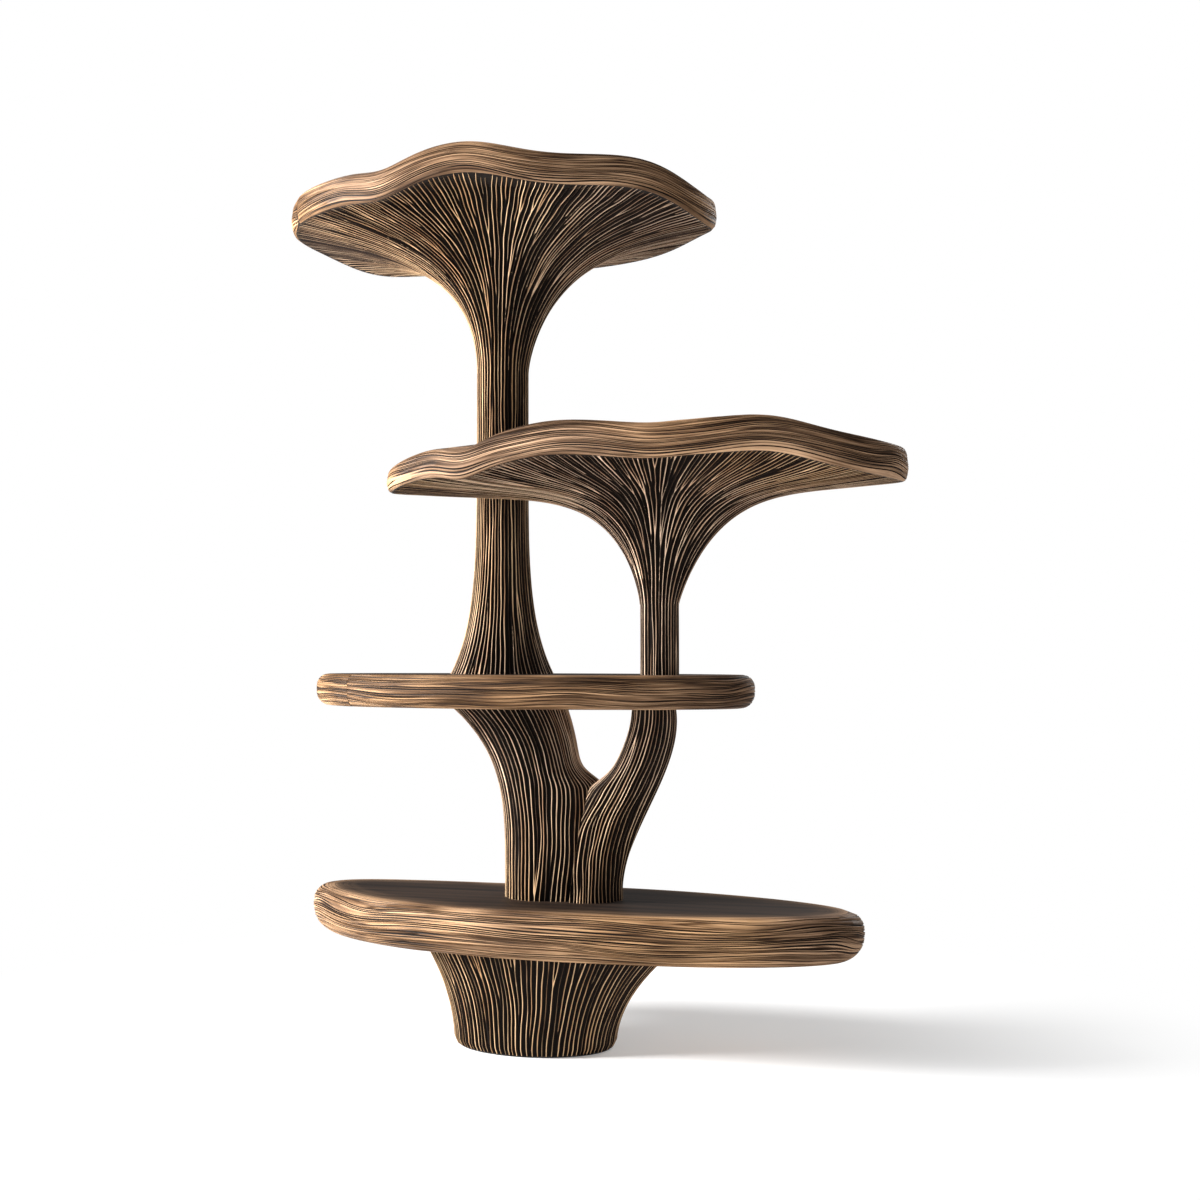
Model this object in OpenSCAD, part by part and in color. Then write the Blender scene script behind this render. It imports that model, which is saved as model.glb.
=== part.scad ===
// Mushroom bookshelf: a ribbed foot, two slab shelves, a forked trunk and two
// gilled caps on stems. Millimetres, +Z up, origin on the floor under the foot.

/* [Foot] */
// Thickness of the rubber pad under the foot
pad_t = 3; // [2:0.5:8]
// How far the pad stays inside the foot's edge
pad_inset = 10; // [5:1:30]
// Height of the ribbed foot
foot_h = 175; // [140:5:240]
// Length of the foot where it stands
foot_base_l = 300; // [260:5:360]
// Depth of the foot where it stands
foot_base_d = 220; // [170:2:260]
// Length of the foot under the base board
foot_top_l = 464; // [400:2:560]
// Depth of the foot under the base board
foot_top_d = 290; // [250:5:330]
// Sideways lean of the foot's flare
foot_lean = 26; // [0:2:40]
// Ribs round the foot
foot_ribs = 44; // [30:2:56]

/* [Base board] */
// Length of the base board
base_l = 1064; // [900:2:1200]
// Depth of the base board
base_d = 384; // [340:4:420]
// Thickness of the base board
base_t = 84; // [84:1:110]
// Middle of the base board, to the right of the foot
base_x = 58; // [0:2:90]
// Rounding of the base board's upper edge
base_round = 30; // [10:1:36]
// Rounding of the base board's lower edge
base_under = 46; // [20:1:48]
// How far the base board's left end swings to the back
base_sway = 78; // [40:2:90]

/* [Trunk and branch] */
// Height of the trunk, the clear height between the two boards
trunk_h = 345; // [300:1:400]
// Length of the trunk where it is narrowest
trunk_l = 144; // [120:2:170]
// Length of the trunk under the middle shelf
trunk_top_l = 220; // [190:5:250]
// Depth of the trunk on the base board
trunk_d = 150; // [130:2:180]
// Depth of the trunk under the middle shelf
trunk_top_d = 176; // [150:2:210]
// Middle of the trunk on the base board, to the right of the foot
trunk_x = 8; // [-6:1:16]
// How far the trunk's top leans to the left
trunk_lean = 70; // [30:1:90]
// Place of the trunk in the depth
trunk_y = 30; // [10:2:50]
// Branch's middle on the base board, to the right of the foot
branch_x = 96; // [80:2:110]
// Width of the branch at its root
branch_root_w = 126; // [110:2:150]
// Width of the branch under the middle shelf
branch_top_w = 78; // [70:2:100]
// Ribs round the trunk
trunk_ribs = 34; // [24:2:44]
// Ribs round the branch
branch_ribs = 24; // [18:2:32]
// Height of the fork's glued seam above the base board
seam_h = 203; // [150:1:230]
// Place of the seam on the base board, to the right of the foot
seam_x = 76; // [66:1:84]
// How far the seam leans to the right over its height
seam_lean = 37; // [24:1:44]

/* [Middle shelf] */
// Length of the middle shelf
shelf_l = 846; // [760:2:960]
// Depth of the middle shelf
shelf_d = 356; // [320:4:400]
// Thickness of the middle shelf
shelf_t = 59; // [52:1:80]
// Middle of the shelf, from the foot (to the left is negative)
shelf_x = -23; // [-60:1:20]
// Rounding of the middle shelf's upper edge
shelf_round = 22; // [8:1:24]
// Rounding of the middle shelf's lower edge
shelf_under = 26; // [8:1:28]
// How far the middle shelf's left end swings to the back
shelf_sway = 30; // [10:2:50]
// Length of the block glued on at the shelf's left end
end_block_l = 124; // [90:1:150]

/* [Stems] */
// Place of the main stem, from the foot
main_x = -80; // [-95:1:-65]
// Place of the main stem in the depth
main_y = 45; // [35:1:55]
// Diameter of the main stem
main_d = 97; // [84:1:110]
// Diameter of the main stem's flared foot
main_foot_d = 192; // [160:2:220]
// Height of the main stem
main_h = 561; // [500:5:640]
// Ribs round the main stem and its gills
main_ribs = 46; // [28:2:52]
// Place of the side stem, from the foot
side_x = 245; // [225:1:255]
// Place of the side stem in the depth
side_y = -55; // [-65:1:-45]
// Diameter of the side stem
side_d = 69; // [64:1:80]
// Height of the side stem
side_h = 123; // [110:1:160]
// Ribs round the side stem and its gills
side_ribs = 38; // [24:2:44]

/* [Top cap] */
// Reach of the top cap to the left of its stem
top_left = 427; // [380:1:500]
// Reach of the top cap to the right of its stem
top_right = 400; // [350:1:460]
// Reach of the top cap to the front of its stem
top_front = 240; // [200:5:270]
// Reach of the top cap to the back of its stem
top_back = 235; // [180:5:260]
// Height of the top cap's gilled bowl
top_bowl_h = 226; // [200:2:260]
// Rise of the gills to the rim at the left end
top_lip_left = 52; // [40:1:80]
// Rise of the gills to the rim at the right end
top_lip_right = 22; // [4:1:40]
// Rise of the gills to the rim at the front
top_lip_front = 62; // [44:2:80]
// Rise of the gills to the rim at the back
top_lip_back = 15; // [10:1:40]
// Height of the wave in the top cap's rim at the front
top_wave = 24; // [0:1:36]
// Thickness of the top cap's rim
top_band = 56; // [40:1:70]
// Thickness of the top cap's rim at the left end
top_band_left = 56; // [40:1:70]
// Thickness of the top cap's rim at the back
top_band_back = 84; // [60:2:100]
// Height of the flat top over the gilled bowl
top_flat_h = 102; // [84:1:120]

/* [Side cap] */
// Reach of the side cap to the left of its stem
side_left = 497; // [430:1:510]
// Reach of the side cap to the right of its stem
side_right = 427; // [380:1:480]
// Reach of the side cap to the front of its stem
side_front = 182; // [150:2:200]
// Reach of the side cap to the back of its stem
side_back = 98; // [90:2:120]
// Height of the side cap's gilled bowl
side_bowl_h = 190; // [160:2:200]
// Rise of the gills to the rim at the left end
side_lip_left = 14; // [6:1:30]
// Rise of the gills to the rim at the right end
side_lip_right = 14; // [6:1:30]
// Rise of the gills to the rim at the front
side_lip_front = 50; // [30:1:60]
// Rise of the gills to the rim at the back
side_lip_back = 8; // [0:1:30]
// Height of the wave in the side cap's rim at the front right
side_wave = 14; // [0:1:24]
// Thickness of the side cap's rim
side_band = 60; // [36:1:64]
// Thickness of the side cap's rim at the left end
side_band_left = 42; // [30:1:60]
// Thickness of the side cap's rim at the back
side_band_back = 84; // [60:2:96]
// Height of the flat top over the gilled bowl
side_flat_h = 96; // [80:1:110]
// How far the side cap's wing swings to the front at its left end
side_swing = 44; // [30:2:60]

/* [Joinery] */
// Diameter of the threaded rods
rod_d = 12; // [8:1:16]
// Clearance round a rod, on the diameter
rod_gap = 1; // [0.4:0.1:2]
// Width of a nut across its corners
nut_w = 21.6; // [16:0.2:28]
// Thickness of a nut
nut_t = 10; // [6:0.5:14]
// Diameter of a washer
washer_d = 37; // [30:1:44]
// Thickness of a washer
washer_t = 3; // [2:0.5:5]
// Diameter of the wooden dowels
dowel_d = 16; // [10:1:20]
// Clearance round a dowel, on the diameter
dowel_gap = 0.4; // [0.1:0.1:0.8]
// Depth of a dowel in each of its two pieces
dowel_h = 26; // [16:1:30]
// Place of the trunk's rod, from the foot
rod_x = -12; // [-20:1:0]

/* [Carving] */
// Depth of the grooves between the ribs
groove = 3.5; // [2:0.5:5]

/* [Hidden] */

wood_dark = "#2e211b";
wood_mid = "#6f5541";
gill_tan = "#8a6a45";
steel = "#b9bcc0";
rubber = "#1b1b1b";

z_foot = pad_t;
z_base = z_foot + foot_h;
z_trunk = z_base + base_t;
z_shelf = z_trunk + trunk_h;
z_stems = z_shelf + shelf_t;
z_top_gills = z_stems + main_h;
z_side_gills = z_stems + side_h;

// Points round a board and round its cut-off end
board_points = 72;
end_points = 26;
// Room round a washer in its counterbore, and past the end of its rod
bore_room_h = 2;
rod_end_h = 4;
// Depth of a counterbore for a washer, a nut and the rod's end
sink_h = washer_t + nut_t + rod_end_h + bore_room_h;
// How far a crown stands out past the gills under it
overhang_l = 10;
// Joint face of a cap: its flat part, as a share of the reach, and its height over the bowl
seat_share = 0.6;
top_seat_h = 44;
side_seat_h = 38;
// Shapes of the gilled bowls to the right, to the left and in the depth: how late they spread
// and how early they rise; the rim's own rise starts late
top_spread = [1.4, 2.0, 1.7];
top_rise = [2.8, 2.2, 2.5];
side_spread = [1.1, 1.3, 1.5];
side_rise = [4.4, 4.8, 3.6];
lip_power = 3;
// Share of a crown's reach that its flat top takes
flat_share = 0.62;
// Waves of a cap's outline, as a share of its reach
cap_wave = 0.01;
// Heights of the smaller waves in the caps' rims
top_waves_h = [20, -9, -22, 12];
side_waves_h = [9, -14, -5, 5];
// Waves of a cap's rim: the angle where each lies, its width in degrees and its height
top_waves = [[270, 16, top_wave], [322, 22, top_waves_h[0]], [248, 8, top_waves_h[1]],
             [140, 18, top_waves_h[2]], [25, 18, top_waves_h[3]]];
side_waves = [[302, 14, side_wave], [252, 11, side_waves_h[0]], [231, 7, side_waves_h[1]],
              [273, 8, side_waves_h[2]], [110, 20, side_waves_h[3]]];
// Web in the fork between trunk and branch: how far it reaches, over which height it runs
// out, and how far under the seam's top it starts to
web_l = 45;
web_h = 28;
web_low_h = 6;
// Branch's place in the depth at its root, its depth as a share of its width, and how far
// its top stays to the left of the side stem
branch_y = 14;
branch_depth = 0.95;
branch_off_l = 10;
// Heights of the joint faces under the crowns
z_top_seat = z_top_gills + top_bowl_h + top_seat_h;
z_side_seat = z_side_gills + side_bowl_h + side_seat_h;
// How much narrower the foot is at its lowest edge, on each side
foot_ease_l = 5;
// How late the foot flares, the trunk widens and leans, the branch thins and the stem's foot ends
foot_flare = 1.9;
trunk_flare = [4, 3];
branch_thin = 1.3;
stem_flare = 5.8;
// Waves of a board's outline, and the share of its sway that its front left part takes
board_wave = 0.008;
front_sway = -0.3;
// Rounding of a crown's rim: how far it is drawn in at its top edge and near it
crown_round_l = 15;
crown_ease_l = 3;
// Rings of a crown's rim: how far in, and at which share of its height
crown_edge = [[crown_ease_l, 0.1], [0, 0.4], [crown_ease_l, 0.8], [crown_round_l, 1]];
// Clearance of a nut's hole, and room past a dowel's tip
thread_gap = 0.2;
tip_room_h = 1;
// Joint between the middle shelf and its end block
split_x = shelf_x - shelf_l / 2 + end_block_l;
split_dowel_ys = [-50, 70];
// How far the dowels lie from the middle of their joints
foot_dowel_x = 90;
cap_dowel_x = 90;
root_dowel_x = 32;
branch_dowel_l = 9;
branch_dowel_y = 18;
// Places of the dowels
foot_dowel_places = [[-foot_dowel_x, 0], [foot_dowel_x, 0]];
branch_root_dowel = [branch_x + root_dowel_x, branch_y];
branch_dowel_x = side_x - branch_off_l - branch_dowel_l;
branch_top_dowels = [[branch_dowel_x, side_y - branch_dowel_y], [branch_dowel_x, side_y + branch_dowel_y]];
fork_dowel_shares = [0.16, 0.36];
top_cap_dowel_places = [[main_x - cap_dowel_x, main_y], [main_x + cap_dowel_x, main_y]];
side_cap_dowel_places = [[side_x - cap_dowel_x, side_y], [side_x + cap_dowel_x, side_y]];

// Value between two others
function mix(a, b, t) = a + (b - a) * t;
// Picks the right or left reach by the side that the angle is on
function side_of(c, plus, minus) = c >= 0 ? plus : minus;

// Solid skinned over rings of equal count, closed at its first and last ring
module skin(rings) {
    n = len(rings[0]);
    m = len(rings);
    last = (m - 1) * n;
    low = [for (k = [0:2]) [for (p = rings[0]) p[k]] * [for (p = rings[0]) 1] / n];
    high = [for (k = [0:2]) [for (p = rings[m - 1]) p[k]] * [for (p = rings[0]) 1] / n];
    points = concat([for (r = rings) each r], [low, high]);
    walls = [for (j = [0:m - 2], i = [0:n - 1])
        let (a = j * n + i, b = j * n + (i + 1) % n)
        each [[a, a + n, b + n], [a, b + n, b]]];
    floor_fan = [for (i = [0:n - 1]) [m * n, i, (i + 1) % n]];
    top_fan = [for (i = [0:n - 1]) [m * n + 1, last + (i + 1) % n, last + i]];
    polyhedron(points, concat(floor_fan, walls, top_fan), convexity = 10);
}

// Ring of a ribbed column: every second point lies in a groove
function rib_ring(x, y, z, half_l, half_d, ribs, cut = groove) = [
    for (i = [0:2 * ribs - 1])
        let (t = 180 * i / ribs, g = i % 2 == 0 ? 0 : cut)
        [x + (half_l - g) * cos(t), y + (half_d - g) * sin(t), z]];

// Point of a board's outline at angle t, drawn in by inset; its left end swings back by sway
function board_point(x, sway, l, d, inset, t) =
    let (wave = 1 + board_wave * (sin(5 * t + 40) + sin(3 * t)))
    [x + (l / 2 * wave - inset) * cos(t),
     (d / 2 * wave - inset) * sin(t) + side_of(cos(t), front_sway, 1) * sway * pow(cos(t), 2)];

// Whole outline of a board, cut off at x_low
function board_ring(x, sway, z, l, d, inset, x_low) = [
    for (i = [0:board_points - 1])
        let (p = board_point(x, sway, l, d, inset, 360 * i / board_points))
        [max(p[0], x_low), p[1], z]];

// The part of a board's outline that lies to the left of x_high
function board_end_ring(x, sway, z, l, d, inset, x_high) =
    let (start = acos(-(x - x_high) / (l / 2 - inset)))
    [for (i = [0:end_points])
        let (p = board_point(x, sway, l, d, inset, mix(start, 360 - start, i / end_points)))
        [i == 0 || i == end_points ? x_high : min(p[0], x_high), p[1], z]];

// Rings of a slab's rounded edge: how far in, and how far from the face
board_edge = [[1, 0], [0.45, 0.12], [0.1, 0.45], [0, 1]];

// Slab with rounded edges, cut off at x_low
module board(x, sway, z, l, d, t, under, round, x_low = -2000) {
    skin([
        for (k = board_edge) board_ring(x, sway, z + under * k[1], l, d, under * k[0], x_low),
        for (i = [3:-1:0])
            let (k = board_edge[i]) board_ring(x, sway, z + t - round * k[1], l, d, round * k[0], x_low)
    ]);
}

// Left end of a slab with rounded edges, up to x_high
module board_end(x, sway, z, l, d, t, under, round, x_high) {
    skin([
        for (k = board_edge) board_end_ring(x, sway, z + under * k[1], l, d, under * k[0], x_high),
        for (i = [3:-1:0])
            let (k = board_edge[i])
            board_end_ring(x, sway, z + t - round * k[1], l, d, round * k[0], x_high)
    ]);
}

// Upright hole or dowel
module upright(x, y, z, h, d) {
    translate([x, y, z]) cylinder(h = h, d = d, $fn = 32);
}

// Hole for one end of a dowel, with a little room past its tip
module dowel_holes(places, z) {
    for (p = places)
        upright(p[0], p[1], z - dowel_h - tip_room_h, 2 * (dowel_h + tip_room_h), dowel_d + dowel_gap);
}

// Hole for a dowel that lies across a joint face
module lying_hole() {
    cylinder(h = 2 * (dowel_h + tip_room_h), d = dowel_d + dowel_gap, center = true, $fn = 32);
}

// Upright dowels centred on a joint face
module dowels(places, z) {
    for (p = places) upright(p[0], p[1], z - dowel_h, 2 * dowel_h, dowel_d);
}

// Hexagonal nut on a rod
module nut(x, y, z) {
    translate([x, y, z]) difference() {
        cylinder(h = nut_t, d = nut_w, $fn = 6);
        translate([0, 0, -1]) cylinder(h = nut_t + 2, d = rod_d + thread_gap, $fn = 32);
    }
}

// Washer on a rod
module washer(x, y, z) {
    translate([x, y, z]) difference() {
        cylinder(h = washer_t, d = washer_d, $fn = 48);
        translate([0, 0, -1]) cylinder(h = washer_t + 2, d = rod_d + rod_gap, $fn = 32);
    }
}

// Counterbored hole for a rod: from z_low to z_high, sunk at one end or both
module rod_hole(x, y, z_low, z_high, sink_low = false, sink_high = false) {
    upright(x, y, z_low - 1, z_high - z_low + 2, rod_d + rod_gap);
    if (sink_low) upright(x, y, z_low - 1, sink_h + 1, washer_d + bore_room_h);
    if (sink_high) upright(x, y, z_high - sink_h, sink_h + 1, washer_d + bore_room_h);
}

// Rod from the low counterbore's mouth to the high one's, with its ends inside them
module rod(x, y, z_low, z_high) {
    upright(x, y, z_low + bore_room_h, z_high - z_low - 2 * bore_room_h, rod_d);
}

// Washers on the floors of a rod's two counterbores
module rod_washers(x, y, z_low, z_high) {
    washer(x, y, z_low + sink_h - washer_t);
    washer(x, y, z_high - sink_h);
}

// Nuts on those washers
module rod_nuts(x, y, z_low, z_high) {
    nut(x, y, z_low + sink_h - washer_t - nut_t);
    nut(x, y, z_high - sink_h + washer_t);
}

module floor_pad() color(rubber)
    linear_extrude(pad_t) polygon([for (i = [0:71])
        [(foot_base_l / 2 - pad_inset) * cos(5 * i), (foot_base_d / 2 - pad_inset) * sin(5 * i)]]);

module foot() color(wood_dark) difference() {
    skin([
        rib_ring(0, 0, z_foot, foot_base_l / 2 - foot_ease_l, foot_base_d / 2 - foot_ease_l, foot_ribs, 0),
        for (u = [0.06, 0.2, 0.34, 0.48, 0.62, 0.76, 0.88, 1])
            rib_ring(foot_lean * pow(u, 2), 0, z_foot + foot_h * u,
                     mix(foot_base_l, foot_top_l, pow(u, foot_flare)) / 2,
                     mix(foot_base_d, foot_top_d, pow(u, foot_flare)) / 2, foot_ribs)
    ]);
    rod_hole(rod_x, trunk_y, z_foot, z_base, sink_low = true);
    dowel_holes(foot_dowel_places, z_base);
}

module foot_dowels() color(wood_mid) dowels(foot_dowel_places, z_base);

module base_board() color(wood_mid) difference() {
    board(base_x, base_sway, z_base, base_l, base_d, base_t, base_under, base_round);
    rod_hole(rod_x, trunk_y, z_base, z_trunk);
    dowel_holes(foot_dowel_places, z_base);
    dowel_holes([branch_root_dowel], z_trunk);
}

// Middle of the trunk at a share of its height
function trunk_mid(u) = trunk_x - trunk_lean * pow(u, trunk_flare[0]);
// Swelling of trunk and branch towards their seam, which runs out over the fork
function web_at(u) = web_l * exp(-pow(max(0, u * trunk_h - seam_h + web_low_h) / web_h, 2));
// Seam between trunk and branch at a share of the trunk's height
function seam_at(u) = seam_x + seam_lean * u * trunk_h / seam_h;

module trunk() color(wood_dark) difference() {
    skin([for (k = [0:12])
        let (u = k / 12, half_l = mix(trunk_l, trunk_top_l, pow(u, trunk_flare[0])) / 2,
             half_d = mix(trunk_d, trunk_top_d, pow(u, trunk_flare[1])) / 2, mid = trunk_mid(u))
        [for (p = rib_ring(mid, trunk_y, z_trunk + u * trunk_h, half_l, half_d, trunk_ribs))
            [min(p[0] + web_at(u) * max(0, (p[0] - mid) / half_l), seam_at(u)), p[1], p[2]]]]);
    rod_hole(rod_x, trunk_y, z_trunk, z_shelf);
    fork_holes();
}

module branch() color(wood_dark) difference() {
    skin([for (k = [0:12])
        let (u = k / 12, bend = u * u * (3 - 2 * u), x = mix(branch_x, side_x - branch_off_l, bend),
             y = mix(branch_y, side_y, u),
             half = mix(branch_root_w, branch_top_w, pow(u, branch_thin)) / 2)
        [for (p = rib_ring(x, y, z_trunk + u * trunk_h, half, half * branch_depth, branch_ribs))
            [max(p[0] + web_at(u) * min(0, (p[0] - x) / half) / 2, seam_at(u)), p[1], p[2]]]]);
    fork_holes();
    dowel_holes([branch_root_dowel], z_trunk);
    dowel_holes(branch_top_dowels, z_shelf);
}

// Places one thing at each dowel across the fork's seam, lying along X
module at_fork_dowels() {
    for (u = fork_dowel_shares)
        translate([seam_at(u), branch_y, z_trunk + u * trunk_h]) rotate([0, 90, 0]) children();
}

module fork_holes() {
    at_fork_dowels() lying_hole();
}

module fork_dowels() color(wood_mid)
    at_fork_dowels() cylinder(h = 2 * dowel_h, d = dowel_d, center = true, $fn = 32);

module trunk_rod() color(steel) rod(rod_x, trunk_y, z_foot, z_stems);
module trunk_rod_washers() color(steel) rod_washers(rod_x, trunk_y, z_foot, z_stems);
module trunk_rod_nuts() color(steel) rod_nuts(rod_x, trunk_y, z_foot, z_stems);

module branch_dowels() color(wood_mid) {
    dowels([branch_root_dowel], z_trunk);
    dowels(branch_top_dowels, z_shelf);
}

module middle_shelf() color(wood_mid) difference() {
    board(shelf_x, shelf_sway, z_shelf, shelf_l, shelf_d, shelf_t, shelf_under, shelf_round, split_x);
    rod_hole(rod_x, trunk_y, z_shelf, z_stems, sink_high = true);
    rod_hole(main_x, main_y, z_shelf, z_stems, sink_low = true);
    rod_hole(side_x, side_y, z_shelf, z_stems, sink_low = true);
    dowel_holes(branch_top_dowels, z_shelf);
    split_holes();
}

module shelf_end_block() color(wood_mid) difference() {
    board_end(shelf_x, shelf_sway, z_shelf, shelf_l, shelf_d, shelf_t, shelf_under, shelf_round, split_x);
    split_holes();
}

// Places one thing at each dowel between the shelf and its end block, lying along X
module at_split_dowels() {
    for (y = split_dowel_ys) translate([split_x, y, z_shelf + shelf_t / 2]) rotate([0, 90, 0]) children();
}

module split_holes() {
    at_split_dowels() lying_hole();
}

module end_block_dowels() color(wood_mid)
    at_split_dowels() cylinder(h = 2 * dowel_h, d = dowel_d, center = true, $fn = 32);

module main_stem() color(wood_dark) difference() {
    skin([for (u = [0, 0.03, 0.08, 0.14, 0.22, 0.32, 0.45, 0.7, 1])
        let (half = mix(main_d, main_foot_d, pow(1 - u, stem_flare)) / 2)
        rib_ring(main_x, main_y, z_stems + u * main_h, half, half, main_ribs)]);
    rod_hole(main_x, main_y, z_stems, z_top_gills);
}

module main_rod() color(steel) rod(main_x, main_y, z_shelf, z_top_seat);
module main_rod_washers() color(steel) rod_washers(main_x, main_y, z_shelf, z_top_seat);
module main_rod_nuts() color(steel) rod_nuts(main_x, main_y, z_shelf, z_top_seat);

module side_stem() color(wood_dark) difference() {
    skin([for (u = [0, 0.5, 1]) rib_ring(side_x, side_y, z_stems + u * side_h,
                                         side_d / 2, side_d / 2, side_ribs)]);
    rod_hole(side_x, side_y, z_stems, z_side_gills);
}

module side_rod() color(steel) rod(side_x, side_y, z_shelf, z_side_seat);
module side_rod_washers() color(steel) rod_washers(side_x, side_y, z_shelf, z_side_seat);
module side_rod_nuts() color(steel) rod_nuts(side_x, side_y, z_shelf, z_side_seat);

// A cap is [x, y, z of its gills' foot, half of its stem, reach right, left, back, front,
// bowl height, lip right, left, back, front, band, ribs, swing, waves of its rim, seat height,
// band at the back, height of its flat top, band at the left end, spreads, rises]
top_cap = [main_x, main_y, z_top_gills, main_d / 2, top_right, top_left, top_back, top_front,
           top_bowl_h, top_lip_right, top_lip_left, top_lip_back, top_lip_front,
           top_band, main_ribs, 0, top_waves, top_seat_h, top_band_back, top_flat_h,
           top_band_left, top_spread, top_rise];
side_cap = [side_x, side_y, z_side_gills, side_d / 2, side_right, side_left, side_back, side_front,
            side_bowl_h, side_lip_right, side_lip_left, side_lip_back, side_lip_front,
            side_band, side_ribs, side_swing, side_waves, side_seat_h, side_band_back, side_flat_h,
            side_band_left, side_spread, side_rise];

// Value at angle t from one for the right, the left and the depth
function around(v, t) = side_of(cos(t), v[0], v[1]) * pow(cos(t), 2) + v[2] * pow(sin(t), 2);
// Share s of the way out at which a cap's bowl has spread to a share of its reach
function share_at(c, t, share) = pow(share, 1 / around(c[21], t));

// Point of a cap at angle t and share s of the way out, drawn in by inset, at height z over its foot
function cap_point(c, t, s, inset, z) =
    let (edge = 1 + cap_wave * (sin(3 * t + 30) + 0.6 * sin(7 * t)) * pow(s, 3),
         reach_x = side_of(cos(t), c[4], c[5]) * edge, reach_y = side_of(sin(t), c[6], c[7]) * edge,
         out = pow(s, around(c[21], t)),
         rx = c[3] + (reach_x - overhang_l - c[3]) * out - inset,
         ry = c[3] + (reach_y - overhang_l - c[3]) * out - inset,
         swing = c[15] * min(0, cos(t)) * pow(out, 2))
    [c[0] + rx * cos(t), c[1] + ry * sin(t) + swing, c[2] + z];

// Rise of a cap's rim over its bowl at angle t
function cap_lip(c, t) =
    side_of(cos(t), c[9], c[10]) * pow(cos(t), 2) + side_of(sin(t), c[11], c[12]) * pow(sin(t), 2)
    + [for (w = c[16]) w[2] * exp(-pow((t - w[0]) / w[1], 2))] * [for (w = c[16]) 1];

// Thickness of a crown's rim at angle t
function cap_band(c, t) =
    c[13] + (c[18] - c[13]) * pow(max(0, sin(t)), 2) + (c[20] - c[13]) * pow(min(0, cos(t)), 2);

// Ring of a cap: its gills' outside at share s
function gill_ring(c, s, cut) = [
    for (i = [0:2 * c[14] - 1])
        let (t = 180 * i / c[14], inset = i % 2 == 0 ? 0 : cut, up = 1 - pow(1 - s, around(c[22], t)))
        cap_point(c, t, s, inset, c[8] * up + cap_lip(c, t) * pow(s, lip_power))];

// Ring of a cap's joint face: its flat part
function seat_ring(c) = [
    for (i = [0:2 * c[14] - 1])
        let (t = 180 * i / c[14]) cap_point(c, t, share_at(c, t, seat_share), 0, c[8] + c[17])];

// Ring of a crown, drawn in by inset, at a share of its band's height
function crown_ring(c, inset, h) = [
    for (i = [0:2 * c[14] - 1])
        let (t = 180 * i / c[14])
        cap_point(c, t, 1, inset - overhang_l, c[8] + cap_lip(c, t) + h * cap_band(c, t))];

// Flat top of a crown
function crown_flat(c) = [
    for (i = [0:2 * c[14] - 1])
        let (t = 180 * i / c[14]) cap_point(c, t, share_at(c, t, flat_share), 0, c[8] + c[19])];

module gills(c) {
    skin([for (k = [0:9]) gill_ring(c, k / 10, groove), gill_ring(c, 0.96, groove),
          gill_ring(c, 1, 0), seat_ring(c)]);
}

module crown(c) {
    skin([seat_ring(c), gill_ring(c, 1, 0), for (e = crown_edge) crown_ring(c, e[0], e[1]),
          crown_flat(c)]);
}

module top_cap_gills() color(gill_tan) difference() {
    gills(top_cap);
    rod_hole(main_x, main_y, z_top_gills, z_top_seat, sink_high = true);
    dowel_holes(top_cap_dowel_places, z_top_seat);
}

module top_cap_crown() color(wood_mid) difference() {
    crown(top_cap);
    dowel_holes(top_cap_dowel_places, z_top_seat);
}

module top_cap_dowels() color(wood_mid) dowels(top_cap_dowel_places, z_top_seat);

module side_cap_gills() color(gill_tan) difference() {
    gills(side_cap);
    rod_hole(side_x, side_y, z_side_gills, z_side_seat, sink_high = true);
    dowel_holes(side_cap_dowel_places, z_side_seat);
}

module side_cap_crown() color(wood_mid) difference() {
    crown(side_cap);
    dowel_holes(side_cap_dowel_places, z_side_seat);
}

module side_cap_dowels() color(wood_mid) dowels(side_cap_dowel_places, z_side_seat);

floor_pad();
foot();
foot_dowels();
base_board();
trunk();
branch();
fork_dowels();
trunk_rod();
trunk_rod_washers();
trunk_rod_nuts();
branch_dowels();
middle_shelf();
shelf_end_block();
end_block_dowels();
main_stem();
main_rod();
main_rod_washers();
main_rod_nuts();
side_stem();
side_rod();
side_rod_washers();
side_rod_nuts();
top_cap_gills();
top_cap_crown();
top_cap_dowels();
side_cap_gills();
side_cap_crown();
side_cap_dowels();
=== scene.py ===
"""Mushroom bookshelf in carved, dark-stained wood.

The solids come from the frame. The carved pieces are made anew on the same sizes: ribs that run
up the foot, the trunk, the branch and the stems, gills that fork under the two caps, and grain
that runs round the boards and the rims. Everything is in metres. The origin lies on the floor
under the middle of the foot, X runs right, Y to the back and Z up.
"""

import logging
import math
from collections.abc import Callable
from dataclasses import dataclass, field
from enum import Enum

import bpy
import numpy as np
from mathutils import Euler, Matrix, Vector


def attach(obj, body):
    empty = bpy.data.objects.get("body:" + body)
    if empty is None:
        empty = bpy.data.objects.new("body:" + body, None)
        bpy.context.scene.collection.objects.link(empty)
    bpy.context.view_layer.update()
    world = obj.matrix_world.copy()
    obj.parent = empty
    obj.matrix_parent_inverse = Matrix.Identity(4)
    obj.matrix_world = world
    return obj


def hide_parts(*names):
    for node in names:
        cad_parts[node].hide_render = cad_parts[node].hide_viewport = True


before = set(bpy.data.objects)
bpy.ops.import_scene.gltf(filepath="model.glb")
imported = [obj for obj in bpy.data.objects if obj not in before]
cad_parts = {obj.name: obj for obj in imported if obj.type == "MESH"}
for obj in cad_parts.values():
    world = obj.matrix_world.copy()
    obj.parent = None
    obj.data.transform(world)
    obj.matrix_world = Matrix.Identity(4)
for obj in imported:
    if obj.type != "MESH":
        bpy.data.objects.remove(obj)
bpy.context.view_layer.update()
log = logging.getLogger("bookshelf")

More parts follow.
